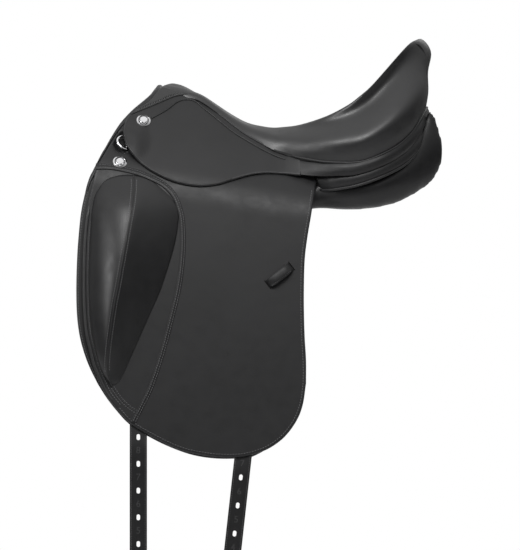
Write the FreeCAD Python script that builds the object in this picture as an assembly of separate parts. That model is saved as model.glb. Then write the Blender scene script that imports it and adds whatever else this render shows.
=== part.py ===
"""An English dressage saddle: tree, seat, panels, flaps with knee blocks, skirts, bars and girth billets.

Frame, in millimetres: +X runs to the rear (cantle), +Y to the off (right) side, +Z up. The origin lies on the
centreline, level with the lowest line of the rear panels, where the saddle rests on the horse's back.

The flaps, skirts and sweat flaps are sheets that share one folded surface. It is laid out in a fold frame with
axes u, y and w: u runs along the fold line, which falls towards the rear, and w stands square to it. Below the
fold the sheets splay outwards, and above it they lean in towards the seat. Every sheet is a band between two
offsets from that surface, cut to its side outline. Each near-side part is the mirror image of its off-side twin.
"""
import FreeCAD
import Part
import math
import os

V = FreeCAD.Vector

# Fold surface
FOLD_SLOPE = 9.8          # degrees that the fold line falls towards the rear
FOLD_ORIGIN = V(-90, 0, 31.5)
FOLD_HALF_WIDTH = 122     # centreline to the fold, at the sweat flap's inner face
SPLAY = 14                # degrees from upright, below the fold
LEAN = 36                 # degrees from upright, above the fold
FOLD_RADIUS = 60
FOLD_GAP = 0.6            # clear space between a fixed head and its moving sheet

# Offsets of the layers from the fold surface, (inner, outer)
TREE_LAYER = (-13, -4)
GULLET_LAYER = (-17, -13.3)
SWEAT_LAYER = (0, 3.5)
WEB_LAYER = (3.8, 4.7)
BILLET_LAYER = (5.6, 8.5)
FLAP_LAYER = (9.4, 13.3)
SKIRT_LAYER = (13.9, 17.4)

# Girth billets
BILLET_WIDTH = 26
BILLET_HOLE_RADIUS = 2.7
BILLET_HOLE_LENGTH = 9
BILLET_HOLES = 8
BILLET_TIP_Z = -690
BILLET_BEND_RADIUS = 50
FRONT_BILLET_X = -182
FRONT_BEND_Z = -358
FRONT_HOLE_Z = -337
FRONT_HOLE_PITCH = 40
REAR_BEND_Z = -386
REAR_HOLE_Z = -355.3
REAR_HOLE_PITCH = 42
REAR_BILLET_FOOT = V(-25, 0, -364)
REAR_BILLET_SLANT = 6.35  # degrees that the rear billet runs forward as it falls

# Leather, foam and wood
COVER = 2.5
CLEAR = 0.6
PANEL_SKIN = 2.5

# Metalwork
RING_WIRE = 2.0
RING_BORE = 2.08
STUD_RADIUS = 10.5
BAR_THICK = 5
BAR_GAP = 8.8

# Seat stations: distance along, crown height, welt height, half width at the welt
SEAT_STATIONS = [
    (-144.5, 190.5, 169, 38),
    (-133, 194, 173, 42),
    (-112, 187, 176, 46),
    (-92, 175.5, 171, 49),
    (-56, 150.5, 143.5, 58),
    (-10, 129.5, 110, 77),
    (16, 127, 97, 88),
    (55, 130.5, 84, 104),
    (100, 144.5, 75, 119),
    (135, 163, 73.5, 126),
    (165, 188, 79, 127),
    (192, 218, 91, 121),
    (215, 245, 105, 106),
    (232, 259, 124, 82),
    (246, 258, 148, 48),
]
# The moulded back of the cantle: distance along, crown, foot and half width
CANTLE_BACK = [(246.4, 257.5, 158, 47), (251, 253, 159, 42), (255.5, 242, 162, 32)]

FLAP_OUTLINE = [
    (-243, 84), (-254, 40), (-261, -15), (-265.5, -70), (-265.5, -125), (-262, -182), (-253, -224),
    (-240, -257), (-212, -301), (-171, -332), (-110, -359), (-51, -367.5), (-8, -363), (34, -338),
    (59, -303), (69, -250), (67, -160), (66.5, -80), (72, -27), (84.6, 48),
]
SWEAT_OUTLINE = [
    (-249, 75), (-262, 28), (-271, -30), (-275, -95), (-273.5, -155), (-266, -205), (-246, -254),
    (-214, -303), (-172, -334.5), (-110, -361.5), (-51, -369.5), (-8, -365), (30, -340), (54, -303),
    (63, -250), (61, -160), (61, -60), (64, 10), (68, 40),
]
HEAD_OUTLINE = [
    (-245, 60), (-230, 91), (-218, 110.7), (-204.5, 132), (-190.7, 147.5), (-176, 156), (-150, 158),
    (-110, 152), (-60, 122), (-10, 90), (20, 70), (38, 57.5), (76, 52.5),
]
SKIRT_TOP = [
    (-196, 145), (-180, 152), (-163, 159), (-142, 168), (-128, 173.5), (-113, 175.5), (-100, 174),
    (-90, 169.5), (-71, 153.5), (-48, 135.5), (-25, 118.5), (-2, 103.5), (34, 88),
]
SKIRT_LOBE = [
    (34, 58.5), (7.5, 60.3), (-15, 57), (-40.7, 49.5), (-63.6, 42.6), (-90, 39.8), (-117, 43.5),
    (-140, 51), (-163, 63.3), (-181.5, 77), (-194, 88), (-201.5, 100), (-204, 115.5), (-202, 130),
    (-196, 145),
]
SKIRT_HINGE_W = 67.5        # height of the skirt's bend line above the fold, along w


def unit(angle):
    """Outward normal, in the y-w plane, of a sheet that leans by this angle from upright."""
    a = math.radians(angle)
    return V(0, math.cos(a), math.sin(a))


def run_down(angle):
    a = math.radians(angle)
    return V(0, math.sin(a), -math.cos(a))


N_LOW, N_HIGH = unit(SPLAY), unit(LEAN)
D_LOW, D_HIGH = run_down(SPLAY), run_down(LEAN)
BEND_CENTRE = V(0, FOLD_HALF_WIDTH, 0) - (N_LOW + N_HIGH) * (FOLD_RADIUS / (1 + N_LOW.dot(N_HIGH)))
FOLD_PLACEMENT = FreeCAD.Placement(FOLD_ORIGIN, FreeCAD.Rotation(V(0, 1, 0), FOLD_SLOPE))


def to_row(shape):
    """A shape drawn in the fold frame, carried to the row frame."""
    placed = shape.copy()
    placed.Placement = FOLD_PLACEMENT.multiply(placed.Placement)
    return placed


def row_point(point):
    return FOLD_PLACEMENT.multVec(point)


def row_direction(vector):
    return FOLD_PLACEMENT.Rotation.multVec(vector)


def mirrored(shape):
    return shape.mirror(V(0, 0, 0), V(0, 1, 0))


def low_point(u, down, offset):
    """Fold-frame point on the splayed side, this far below the fold along the sheet."""
    start = (FOLD_RADIUS + offset) * N_LOW + BEND_CENTRE
    run = down - FOLD_RADIUS * math.tan(math.radians((LEAN - SPLAY) / 2))
    return V(u, 0, 0) + start + D_LOW * run


def high_point(u, w, offset):
    """Fold-frame point on the leaning side at height w, this far out from the fold surface."""
    on_surface = V(u, FOLD_HALF_WIDTH - w * math.tan(math.radians(LEAN)), w)
    return on_surface + N_HIGH * offset


def high_at(x, z, offset):
    """Row-frame point on the leaning side that shows at x, z in the side view."""
    a = math.radians(FOLD_SLOPE)
    lean = math.radians(LEAN)
    w = (z - FOLD_ORIGIN.z) * math.cos(a) + (x - FOLD_ORIGIN.x) * math.sin(a)
    y = FOLD_HALF_WIDTH - w * math.tan(lean) + offset / math.cos(lean)
    return V(x, y, z)


def low_at(x, z, offset):
    """Row-frame point on the splayed side that shows at x, z in the side view."""
    a = math.radians(FOLD_SLOPE)
    splay = math.radians(SPLAY)
    w = (z - FOLD_ORIGIN.z) * math.cos(a) + (x - FOLD_ORIGIN.x) * math.sin(a)
    y = FOLD_HALF_WIDTH - w * math.tan(splay) + offset / math.cos(splay)
    return V(x, y, z)


def bend_arc(radius, first, last):
    """Arc of the bend between two lean angles."""
    ends = [BEND_CENTRE + unit(t) * radius for t in (first, (first + last) / 2, last)]
    return Part.Arc(*ends).toShape(), ends[0], ends[2]


def band(layer, below=None, above=None, cut_low=SPLAY, cut_high=LEAN, length=700):
    """A folded sheet between two offsets. below and above are its straight runs, or None where it ends in the bend."""
    rows = []
    for offset in layer:
        arc, low, high = bend_arc(FOLD_RADIUS + offset, cut_low, cut_high)
        edges, first, last = [arc], low, high
        if below is not None:
            first = low + D_LOW * below
            edges.insert(0, Part.makeLine(first, low))
        if above is not None:
            last = high - D_HIGH * above
            edges.append(Part.makeLine(high, last))
        rows.append((edges, first, last))
    (inner, a0, a1), (outer, b0, b1) = rows
    ring = inner + [Part.makeLine(a1, b1)] + outer + [Part.makeLine(b0, a0)]
    face = Part.Face(Part.Wire(Part.__sortEdges__(ring)))
    solid = face.extrude(V(length, 0, 0))
    solid.translate(V(-length / 2, 0, 0))
    return to_row(solid)


def flat_band(layer, normal, along, anchor, high_run, low_run, length=700):
    """A straight strip of sheet square to normal, from low_run to high_run along the direction along."""
    a, b = layer
    corners = [anchor + normal * o + along * r for o, r in ((a, low_run), (b, low_run), (b, high_run), (a, high_run))]
    face = Part.Face(Part.makePolygon(corners + corners[:1]))
    solid = face.extrude(V(length, 0, 0))
    solid.translate(V(-length / 2, 0, 0))
    return to_row(solid)


def spline_edge(points):
    curve = Part.BSplineCurve()
    curve.interpolate(points)
    return curve.toShape()


def side_prism(*runs, depth=420):
    """A prism square to the side view. Each run is a smooth stretch of its outline, and straight lines join them."""
    edges, last = [], None
    first = V(runs[0][0][0], 0, runs[0][0][1])
    for run in runs:
        points = [V(x, 0, z) for x, z in run]
        if last is not None and (last - points[0]).Length > 1e-6:
            edges.append(Part.makeLine(last, points[0]))
        edges.append(spline_edge(points) if len(points) > 2 else Part.makeLine(*points))
        last = points[-1]
    if (last - first).Length > 1e-6:
        edges.append(Part.makeLine(last, first))
    face = Part.Face(Part.Wire(edges))
    return face.extrude(V(0, depth, 0))


def quad(centre, wide, thin, wide_half, thin_half):
    corners = [
        centre + wide * (i * wide_half) + thin * (j * thin_half) for i, j in ((-1, -1), (1, -1), (1, 1), (-1, 1))
    ]
    return Part.makePolygon(corners + corners[:1])


def ruled_loft(wires):
    return Part.makeLoft(wires, True, False)


def one_solid(shape):
    """The largest solid of a shape, without splinters left by a cut."""
    solids = sorted(shape.Solids, key=lambda s: s.Volume)
    return solids[-1]


# ---------------------------------------------------------------- seat


def seat_top(half_width, crown, welt, count=6):
    """Half of a seat section from the crown to the welt, as a rounded arch."""
    points = []
    for i in range(count + 1):
        t = math.pi / 2 * i / count
        points.append((half_width * math.sin(t) ** 0.9, welt + (crown - welt) * math.cos(t) ** 0.8))
    return points


def seat_curve(x, half_width, crown, welt):
    half = seat_top(half_width, crown, welt)
    left = [V(x, -y, z) for y, z in reversed(half)]
    return left + [V(x, y, z) for y, z in half[1:]]


def arch_band(x, outer, inner, foot):
    """Closed section of an arched layer: outer and inner are (half width, crown, welt), and foot its lower edge."""
    top = seat_curve(x, *outer)
    under = seat_curve(x, *inner)
    feet = [V(x, s * h, foot) for s, h in ((1, outer[0]), (1, inner[0]), (-1, inner[0]), (-1, outer[0]))]
    edges = [
        spline_edge(top),
        Part.makeLine(top[-1], feet[0]),
        Part.makeLine(feet[0], feet[1]),
        Part.makeLine(feet[1], under[-1]),
        spline_edge(under[::-1]),
        Part.makeLine(under[0], feet[2]),
        Part.makeLine(feet[2], feet[3]),
        Part.makeLine(feet[3], top[0]),
    ]
    return Part.Wire(edges)


def foam_thickness(x):
    """Seat foam is thin over the head, and thick under the rider's seat bones and in the cantle."""
    return 7 + 11 * min(1, max(0, (x + 100) / 150))


def seat_layer(depth, thickness, inset=0, lift=0):
    """Loft of an arched layer that starts depth under the seat's outer face, its foot lifted above the welt."""
    wires = []
    for x, crown, welt, half in SEAT_STATIONS:
        if x in (SEAT_STATIONS[0][0], SEAT_STATIONS[-1][0]):
            x += inset if x < 0 else -inset
        thick = thickness(x)
        welt += lift
        outer = (half - depth, crown - depth, welt)
        inner = (half - depth - thick, crown - depth - thick, welt)
        wires.append(arch_band(x, outer, inner, welt - 0.6))
    return ruled_loft(wires)


# ---------------------------------------------------------------- strips around the cantle

# Strip path: distance along, half width, top and bottom height of the upper strip, bottom of the rear facing
CANTLE_PATH = [
    (37, 96, 86, 58.5, 40),
    (71, 108, 78, 55, 34),
    (100, 118, 73.5, 54, 33.5),
    (146, 126, 73.5, 56.5, 40),
    (183, 122, 84, 69, 53),
    (215, 104, 102, 87, 70),
    (236, 78, 126, 108, 90),
    (246, 48, 143, 127, 112),
    (251, 22, 153, 140, 126),
    (252, 0, 155, 143, 130),
]


def around_cantle(section, first=0):
    """Solid lofted along the cantle path on both sides. section gives (out_from, out_to, low, high) for a row."""
    path = CANTLE_PATH[first:]
    rows = path + [(x, -y, a, b, c) for x, y, a, b, c in reversed(path[:-1])]
    wires = []
    for i, row in enumerate(rows):
        before, after = rows[max(0, i - 1)], rows[min(len(rows) - 1, i + 1)]
        along = V(after[0] - before[0], after[1] - before[1], 0).normalize()
        out = V(-along.y, along.x, 0)
        centre = V(row[0], row[1], 0)
        near, far, low, high = section(row)
        corners = [centre + out * near + V(0, 0, low), centre + out * far + V(0, 0, low),
                   centre + out * far + V(0, 0, high), centre + out * near + V(0, 0, high)]
        wires.append(Part.makePolygon(corners + corners[:1]))
    return ruled_loft(wires)


def cantle_back():
    """Moulded leather back that closes the cantle behind the seat."""
    wires = []
    for x, crown, foot, half in CANTLE_BACK:
        top = seat_curve(x, half, crown, foot)
        wires.append(Part.Wire([spline_edge(top), Part.makeLine(top[-1], top[0])]))
    return ruled_loft(wires)


def cantle_strip():
    return around_cantle(lambda r: (-1, 3, r[3] + 0.5, r[2] - 3.1))


def rear_facing():
    return around_cantle(lambda r: (-4.5, -1.3, r[4] + 1, r[3] - 1.5), first=2)


def welt_piping():
    """Piping in the seam between seat and skirt, both sides in one run round the cantle."""
    return around_cantle(lambda r: (-0.5, 3.5, r[2] - 3, r[2] + 0.3))


# ---------------------------------------------------------------- tree

ARCH_RADIUS = 50


def opposite(point):
    return V(point.x, -point.y, point.z)


def arch_face(layer, foot_w):
    """Cross-section of the head arch in the fold frame: two leaning legs joined by a round crown."""
    lean = math.radians(LEAN)
    rim = []
    reach = FOLD_HALF_WIDTH * math.cos(lean)
    top_offset = TREE_LAYER[1]
    centre_w = (reach + top_offset - ARCH_RADIUS) / math.sin(lean)
    for offset in layer:
        radius = ARCH_RADIUS + offset - top_offset
        tangent = V(0, radius * math.cos(lean), centre_w + radius * math.sin(lean))
        foot = high_point(0, foot_w, offset)
        rim.append((foot, tangent, V(0, 0, centre_w + radius)))
    (f0, t0, c0), (f1, t1, c1) = rim
    edges = [
        Part.makeLine(f1, t1), Part.Arc(t1, c1, opposite(t1)).toShape(), Part.makeLine(opposite(t1), opposite(f1)),
        Part.makeLine(opposite(f1), opposite(f0)), Part.makeLine(opposite(f0), opposite(t0)),
        Part.Arc(opposite(t0), c0, t0).toShape(),
        Part.makeLine(t0, f0), Part.makeLine(f0, f1),
    ]
    return Part.Face(Part.Wire(edges))


def arch(layer, foot_w, start, length):
    face = arch_face(layer, foot_w)
    face.translate(V(start, 0, 0))
    return to_row(face.extrude(V(length, 0, 0)))


HEAD_START, HEAD_LENGTH = -88, 36


def tree_head():
    return arch(TREE_LAYER, BAR_W - 36, HEAD_START, HEAD_LENGTH)


def gullet_plate():
    return arch(GULLET_LAYER, BAR_W - 30, HEAD_START + 4, HEAD_LENGTH - 8)


RAIL_PATH = [
    # centre along, half distance, height, lean of the wide side, half width
    (35, 70, 90, 45, 17),
    (75, 82, 76, 62, 18),
    (120, 93, 71, 70, 19),
    (160, 95, 74, 70, 19),
]


def rail():
    """Side rail of the tree, from the head to the cantle."""
    thin = (TREE_LAYER[1] - TREE_LAYER[0]) / 2
    mid = (TREE_LAYER[1] + TREE_LAYER[0]) / 2
    wires = []
    for u in (HEAD_START + HEAD_LENGTH, -10, 55):
        point = row_point(high_point(u, BAR_W, mid))
        wires.append(quad(point, row_direction(D_HIGH), row_direction(N_HIGH), 18, thin))
    for x, y, z, lean, half in RAIL_PATH:
        wires.append(quad(V(x + 20, y, z), run_down(lean), unit(lean), half, thin - 0.5))
    return Part.makeLoft(wires, True, True)


def tree_cantle():
    """Upright bow at the back of the tree, which carries the cantle."""
    path = [(150, 103, 62, 90), (178, 100, 66, 118), (204, 84, 84, 152), (221, 55, 108, 192), (229, 25, 128, 214),
            (231, 0, 132, 219)]
    rows = path + [(x, -y, low, high) for x, y, low, high in reversed(path[:-1])]
    wires = []
    for i, (x, y, low, high) in enumerate(rows):
        before, after = rows[max(0, i - 1)], rows[min(len(rows) - 1, i + 1)]
        along = V(after[0] - before[0], after[1] - before[1], 0).normalize()
        out = V(-along.y, along.x, 0)
        lean = out * (-0.12 * (high - low))
        centre = V(x, y, 0)
        corners = [centre - out * 9 + V(0, 0, low), centre + V(0, 0, low),
                   centre + lean + V(0, 0, high), centre + lean - out * 7 + V(0, 0, high)]
        wires.append(Part.makePolygon(corners + corners[:1]))
    return ruled_loft(wires)


# ---------------------------------------------------------------- panels

# Panel stations: distance along, then the section's corners as (y, z), in turn round it:
# channel low, channel high, outer high, outer middle, outer low, inner low, inner middle
PANEL_STATIONS = [
    (-236, (98, 50), (94, 60), (98, 63), (115, 42), (135, -20), (124, -24), (110, 20)),
    (-200, (58, 86), (49, 102), (56, 107), (122, 20), (152, -92), (138, -98), (106, 0)),
    (-160, (38, 86), (35, 105), (46, 110), (119, 20), (153, -106), (138, -114), (102, 0)),
    (-100, (36, 73), (35, 95), (46, 100), (115, 20), (149, -106), (134, -114), (100, 0)),
    (-40, (35, 58), (35, 84), (46, 92), (113, 20), (138, -72), (126, -80), (96, 2)),
    (20, (35, 44), (35, 66), (62, 66), (108, 26), (122, -24), (110, -32), (88, 4)),
    (84, (35, 34), (35, 58), (82, 53), (105, 26), (106, 6), (88, 4), (60, 18)),
    (130, (35, 35), (35, 57), (106, 40), (119, 22), (108, 6), (88, 4), (60, 20)),
    (180, (35, 43), (35, 62), (104, 52), (116, 34), (106, 13), (86, 10), (60, 28)),
    (220, (35, 58), (36, 90), (82, 76), (97, 56), (90, 30), (74, 25), (52, 40)),
    (250, (36, 72), (37, 118), (50, 106), (64, 84), (62, 54), (52, 49), (42, 60)),
    (270, (40, 88), (40, 112), (44, 110), (48, 98), (48, 80), (45, 78), (42, 82)),
]


def panel_section(row, inset):
    """Closed rounded section through the corners of a panel station, drawn in by inset on every side."""
    x, corners = row[0], row[1:]
    cy = sum(c[0] for c in corners) / len(corners)
    cz = sum(c[1] for c in corners) / len(corners)
    points = []
    for i, (y, z) in enumerate(corners):
        y2, z2 = corners[(i + 1) % len(corners)]
        mid_y, mid_z = (y + y2) / 2, (z + z2) / 2
        for py, pz, bulge in ((y, z, 0), (mid_y, mid_z, 1)):
            reach = math.hypot(py - cy, pz - cz)
            scale = 1 + (bulge - inset) / max(reach, 3 * inset)
            points.append(V(x, cy + (py - cy) * scale, cz + (pz - cz) * scale))
    return Part.makePolygon(points + points[:1])


def panel_body(inset, stations):
    return Part.makeLoft([panel_section(row, inset) for row in stations], True, True)


# ---------------------------------------------------------------- flaps, skirts and blocks


def sweat_flap():
    sheet = band(SWEAT_LAYER, below=420, above=8)
    return one_solid(sheet.common(side_prism(SWEAT_OUTLINE)))


def middle_gap(layer):
    """Half the fold gap as an angle of the bend at this layer."""
    return math.degrees(FOLD_GAP / 2 / (FOLD_RADIUS + layer[0]))


def flap():
    """Lower, moving sheet of the flap, up to its bend."""
    top = (SPLAY + LEAN) / 2 - middle_gap(FLAP_LAYER)
    sheet = band(FLAP_LAYER, below=420, cut_high=top)
    body = one_solid(sheet.common(side_prism(FLAP_OUTLINE)))
    return body.cut(keeper_slots())


def flap_head():
    """Fixed head of the flap, under the skirt, with its window for the stirrup bar and its slot for the dee."""
    bottom = (SPLAY + LEAN) / 2 + middle_gap(FLAP_LAYER)
    sheet = band(FLAP_LAYER, above=160, cut_low=bottom)
    rear = [(76, 52.5), (83, 44), (84.6, 30), (82, 0)]
    body = one_solid(sheet.common(side_prism(HEAD_OUTLINE, rear, [(82, 0), (-245, 0)])))
    slope = math.cos(math.radians(LEAN))
    reach = (BAR_W + 17) / slope, (BAR_W - 20) / slope
    window = flat_band((5, 20), N_HIGH, -D_HIGH, high_point(0, 0, 0), *reach, length=104)
    window.translate(row_direction(V(BAR_CENTRE_U + 6, 0, 0)))
    return body.cut(window).cut(dee_slot())


def straight_above(w):
    """Length of the leaning run from the end of the bend up to height w on the fold surface."""
    end = (BEND_CENTRE + N_HIGH * FOLD_RADIUS).z
    return (w - end) / math.cos(math.radians(LEAN))


def skirt_prism():
    return side_prism(SKIRT_TOP, SKIRT_LOBE)


def skirt():
    """Moving lobe of the skirt, below its bend line."""
    sheet = band(SKIRT_LAYER, below=30, above=straight_above(SKIRT_HINGE_W - FOLD_GAP / 2))
    return one_solid(sheet.common(skirt_prism()))


def skirt_head():
    """Fixed top of the skirt, nailed to the tree and sewn along the welt."""
    anchor = high_point(0, 0, 0)
    low = (SKIRT_HINGE_W + FOLD_GAP / 2) / math.cos(math.radians(LEAN))
    sheet = flat_band(SKIRT_LAYER, N_HIGH, -D_HIGH, anchor, 210, low)
    return one_solid(sheet.common(skirt_prism()))


# Knee block sections: height, front edge, ridge and rear edge along, and how far the ridge stands out
BLOCK_SECTIONS = [
    (50, -233, -196, -172, 5),
    (38, -245, -191, -152, 21),
    (10, -251, -192, -131, 35),
    (-36, -254, -198, -138, 43),
    (-96, -255, -210, -156, 44),
    (-146, -252, -220, -175, 40),
    (-213, -243, -228, -199, 27),
    (-248, -233, -227, -214, 12),
]
BLOCK_EDGE = 2.5


def block_loft(inset, lift):
    wires = []
    for z, front, ridge, rear, height in BLOCK_SECTIONS:
        front, rear = front + inset, rear - inset
        tall = max(1.2, height - inset)
        edge = max(0.6, BLOCK_EDGE - inset / 2)
        base = FLAP_LAYER[1] + lift
        foot = [low_at(front, z, base), low_at(rear, z, base)]
        crest = low_at(min(max(ridge, front + 2), rear - 2), z, base) + V(0, tall, 0)
        points = [foot[0], foot[0] + V(0, edge, 0), crest, foot[1] + V(0, edge, 0), foot[1]]
        wires.append(Part.makePolygon(points + points[:1]))
    return Part.makeLoft(wires, True, True)


def knee_block():
    """Leather cover of the block, closed round its foam core."""
    return block_loft(0, 0).cut(block_foam())


def block_foam():
    body = block_loft(3, 1.5)
    return body.cut(Part.makeBox(200, 400, 100, V(-300, 0, 34))).cut(Part.makeBox(200, 400, 100, V(-300, 0, -340)))


# ---------------------------------------------------------------- keeper

KEEPER_CENTRE = (29.5, -95)
KEEPER_ANGLE = 37.8       # degrees that it climbs to the rear
KEEPER_LENGTH, KEEPER_WIDTH, KEEPER_RISE, KEEPER_THICK = 44, 17, 8, 2.5


def keeper_placement():
    origin = low_at(KEEPER_CENTRE[0], KEEPER_CENTRE[1], FLAP_LAYER[1])
    normal = row_direction(N_LOW)
    along = row_direction(V(1, 0, 0) * math.cos(math.radians(KEEPER_ANGLE + FOLD_SLOPE))
                          - D_LOW * math.sin(math.radians(KEEPER_ANGLE + FOLD_SLOPE)))
    across = normal.cross(along)
    return FreeCAD.Placement(origin, FreeCAD.Rotation(along, across, normal, "ZXY"))


def placed_box(placement, size, centre):
    box = Part.makeBox(size[0], size[1], size[2], V(centre[0] - size[0] / 2, centre[1] - size[1] / 2, centre[2]))
    box.Placement = placement
    return box


def keeper_slots():
    """Two slots in the flap where the ends of the keeper pass through."""
    place = keeper_placement()
    end = KEEPER_LENGTH / 2 - KEEPER_THICK / 2
    cuts = [placed_box(place, (KEEPER_THICK + 0.4, KEEPER_WIDTH + 0.4, 20), (s * end, 0, -10)) for s in (-1, 1)]
    return cuts[0].fuse(cuts[1])


def keeper():
    """Bridge of leather that holds the stirrup leather's tail, with its two ends let into the flap."""
    place = keeper_placement()
    inside = (KEEPER_LENGTH - 2 * KEEPER_THICK, KEEPER_WIDTH + 2, KEEPER_RISE + 20)
    depth = 3.6
    body = placed_box(place, (KEEPER_LENGTH, KEEPER_WIDTH, KEEPER_RISE + KEEPER_THICK + depth), (0, 0, -depth))
    body = body.cut(placed_box(place, inside, (0, 0, KEEPER_RISE - inside[2])))
    return one_solid(body)


# ---------------------------------------------------------------- metalwork

BAR_CENTRE_U, BAR_W = -18, 67.5
BAR_LENGTH, BAR_HEIGHT = 62, 12
PLATE_LENGTH, PLATE_HEIGHT, PLATE_THICK = 78, 28, 3
CATCH_LENGTH = 15
CATCH_PIN_RADIUS = 1.6
CATCH_CLEARANCE = 0.06


def leaning_box(u0, u1, w0, w1, inner, outer):
    """A block square to the leaning side, between two heights and two offsets."""
    low, high = high_point(u0, w0, inner), high_point(u0, w1, inner)
    out = N_HIGH * (outer - inner)
    face = Part.Face(Part.makePolygon([low, high, high + out, low + out, low]))
    return to_row(face.extrude(V(u1 - u0, 0, 0)))


def bar_layers():
    plate = (TREE_LAYER[1] + 0.05, TREE_LAYER[1] + 0.05 + PLATE_THICK)
    inner = plate[1] + BAR_GAP
    return plate, (inner, inner + BAR_THICK - 0.4)


def stirrup_bar():
    """Steel bar open at the rear, with its plate, front bridge and the tongue that carries the catch."""
    plate, bar = bar_layers()
    half = math.cos(math.radians(LEAN))
    back = leaning_box(BAR_CENTRE_U - PLATE_LENGTH / 2, BAR_CENTRE_U + PLATE_LENGTH / 2,
                       BAR_W - PLATE_HEIGHT / 2 * half, BAR_W + PLATE_HEIGHT / 2 * half, *plate)
    front = BAR_CENTRE_U - BAR_LENGTH / 2
    low, high = BAR_W - BAR_HEIGHT / 2 * half, BAR_W + BAR_HEIGHT / 2 * half
    rod = leaning_box(front, front + BAR_LENGTH, low, high, *bar)
    bridge = leaning_box(front, front + 9, low, high, plate[1] - 0.5, bar[0] + 0.5)
    body = back.fuse(rod).fuse(bridge)
    notch = leaning_box(front + BAR_LENGTH - 11.6, front + BAR_LENGTH + 2, low - 2, high + 2, bar[0] + 2.2, bar[1] + 2)
    body = body.cut(notch)
    return one_solid(body.cut(to_row(catch_hole(CATCH_PIN_RADIUS)))).removeSplitter()


def catch_axis_point(offset):
    front = BAR_CENTRE_U - BAR_LENGTH / 2
    return high_point(front + BAR_LENGTH - 6, BAR_W, offset)


def catch_hole(radius):
    """Cylinder on the catch's axis, in the fold frame."""
    return Part.makeCylinder(radius, 30, catch_axis_point(-1), N_HIGH)


def bar_catch():
    """Thumb catch at the open end of the bar."""
    _, bar = bar_layers()
    half = math.cos(math.radians(LEAN))
    low, high = BAR_W - 5 * half, BAR_W + 5 * half
    inner = bar[0] + 2.5
    start = BAR_CENTRE_U + BAR_LENGTH / 2 - 6
    body = leaning_box(start, start + CATCH_LENGTH, low, high, inner, bar[1])
    disc = to_row(Part.makeCylinder(5, bar[1] - inner, catch_axis_point(inner), N_HIGH))
    body = body.fuse(disc)
    return body.cut(to_row(catch_hole(CATCH_PIN_RADIUS + CATCH_CLEARANCE))).removeSplitter()


def catch_pin():
    """Rivet that the catch turns on, pressed into the bar."""
    _, bar = bar_layers()
    return to_row(Part.makeCylinder(CATCH_PIN_RADIUS, bar[1] - bar[0], catch_axis_point(bar[0]), N_HIGH))


def bar_rivets():
    """Two rivets that hold the bar's plate to the tree rail."""
    rivets = []
    for du in (-34.8, 34.8):
        foot = high_point(BAR_CENTRE_U + du, BAR_W, bar_layers()[0][1])
        rivets.append(to_row(Part.makeCylinder(3.3, 1.6, foot, N_HIGH)))
    return rivets


def stud(x, z, offset):
    """Dished stud with a domed centre, on the leaning side."""
    base = high_at(x, z, offset)
    profile = [(0, 0), (STUD_RADIUS, 0), (STUD_RADIUS, 1.4), (8.6, 2.6), (7.4, 1.8), (6.4, 1.8), (5.2, 4.2), (0, 4.8)]
    points = [V(r, 0, h) for r, h in profile]
    face = Part.Face(Part.makePolygon(points + points[:1]))
    solid = face.revolve(V(0, 0, 0), V(0, 0, 1), 360)
    normal = row_direction(N_HIGH)
    solid.Placement = FreeCAD.Placement(base, FreeCAD.Rotation(V(0, 0, 1), normal))
    return solid


DEE_TOP, DEE_LENGTH, DEE_REACH = (-197.5, 111), 20, 16
DEE_OFFSET = 10.9


def dee_frame():
    """Placement of the dee: its straight bar along +Z, its bow towards -X, and its face normal along +Y."""
    top = high_at(DEE_TOP[0], DEE_TOP[1], DEE_OFFSET)
    up = row_direction(-D_HIGH)
    normal = row_direction(N_HIGH)
    tilt = FreeCAD.Rotation(up, -14)
    out = tilt.multVec(normal)
    along = out.cross(up)
    rotation = FreeCAD.Rotation(along, out, up, "ZXY")
    return FreeCAD.Placement(top - up * DEE_LENGTH, rotation)


def d_ring():
    """Closed ring of round wire with one straight side."""
    r = RING_WIRE
    half = DEE_LENGTH / 2
    corner_low, corner_high = V(0, 0, 0), V(0, 0, DEE_LENGTH)
    bow_low, bow_high = V(-DEE_REACH + half, 0, 0), V(-DEE_REACH + half, 0, DEE_LENGTH)
    straight = Part.makeCylinder(r, DEE_LENGTH, corner_low)
    pieces = [Part.makeSphere(r, corner_low), Part.makeSphere(r, corner_high)]
    for a, b in ((corner_low, bow_low), (corner_high, bow_high)):
        pieces.append(Part.makeCylinder(r, (b - a).Length, a, b - a))
    torus = Part.makeTorus(half, r, V(-DEE_REACH + half, 0, half), V(0, 1, 0))
    keep = Part.makeBox(half + 5, 20, DEE_LENGTH + 20, V(-DEE_REACH - 5, -10, -10))
    pieces.append(torus.common(keep))
    for piece in pieces:
        straight = straight.fuse(piece)
    body = straight.removeSplitter()
    body.Placement = dee_frame()
    return body


def dee_chape():
    """Leather tab folded round the dee's straight bar, its tail lying between tree and flap head."""
    loop = Part.makeCylinder(4.0, 10, V(0, 0, 5))
    frame = dee_frame()
    loop = loop.cut(Part.makeCylinder(RING_BORE, 30, V(0, 0, -5)))
    tail = Part.makeBox(8, 3.2, 10, V(3.0, -3.9, 5))
    body = loop.fuse(tail).cut(Part.makeCylinder(RING_BORE, 30, V(0, 0, -5)))
    body.Placement = frame
    return body


def dee_slot():
    slot = Part.makeBox(34, 24, DEE_LENGTH + 9, V(-25, -12, -4.5))
    tail = Part.makeBox(16, 24, 11, V(0, -12, 4.5))
    slot = slot.fuse(tail)
    slot.Placement = dee_frame()
    return slot


def skirt_notch():
    """Relief under the skirt's front edge where the dee passes beneath it."""
    notch = Part.makeBox(19, 24, DEE_LENGTH + 10, V(-13, -12, -5))
    notch.Placement = dee_frame()
    return notch


# ---------------------------------------------------------------- billets


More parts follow.
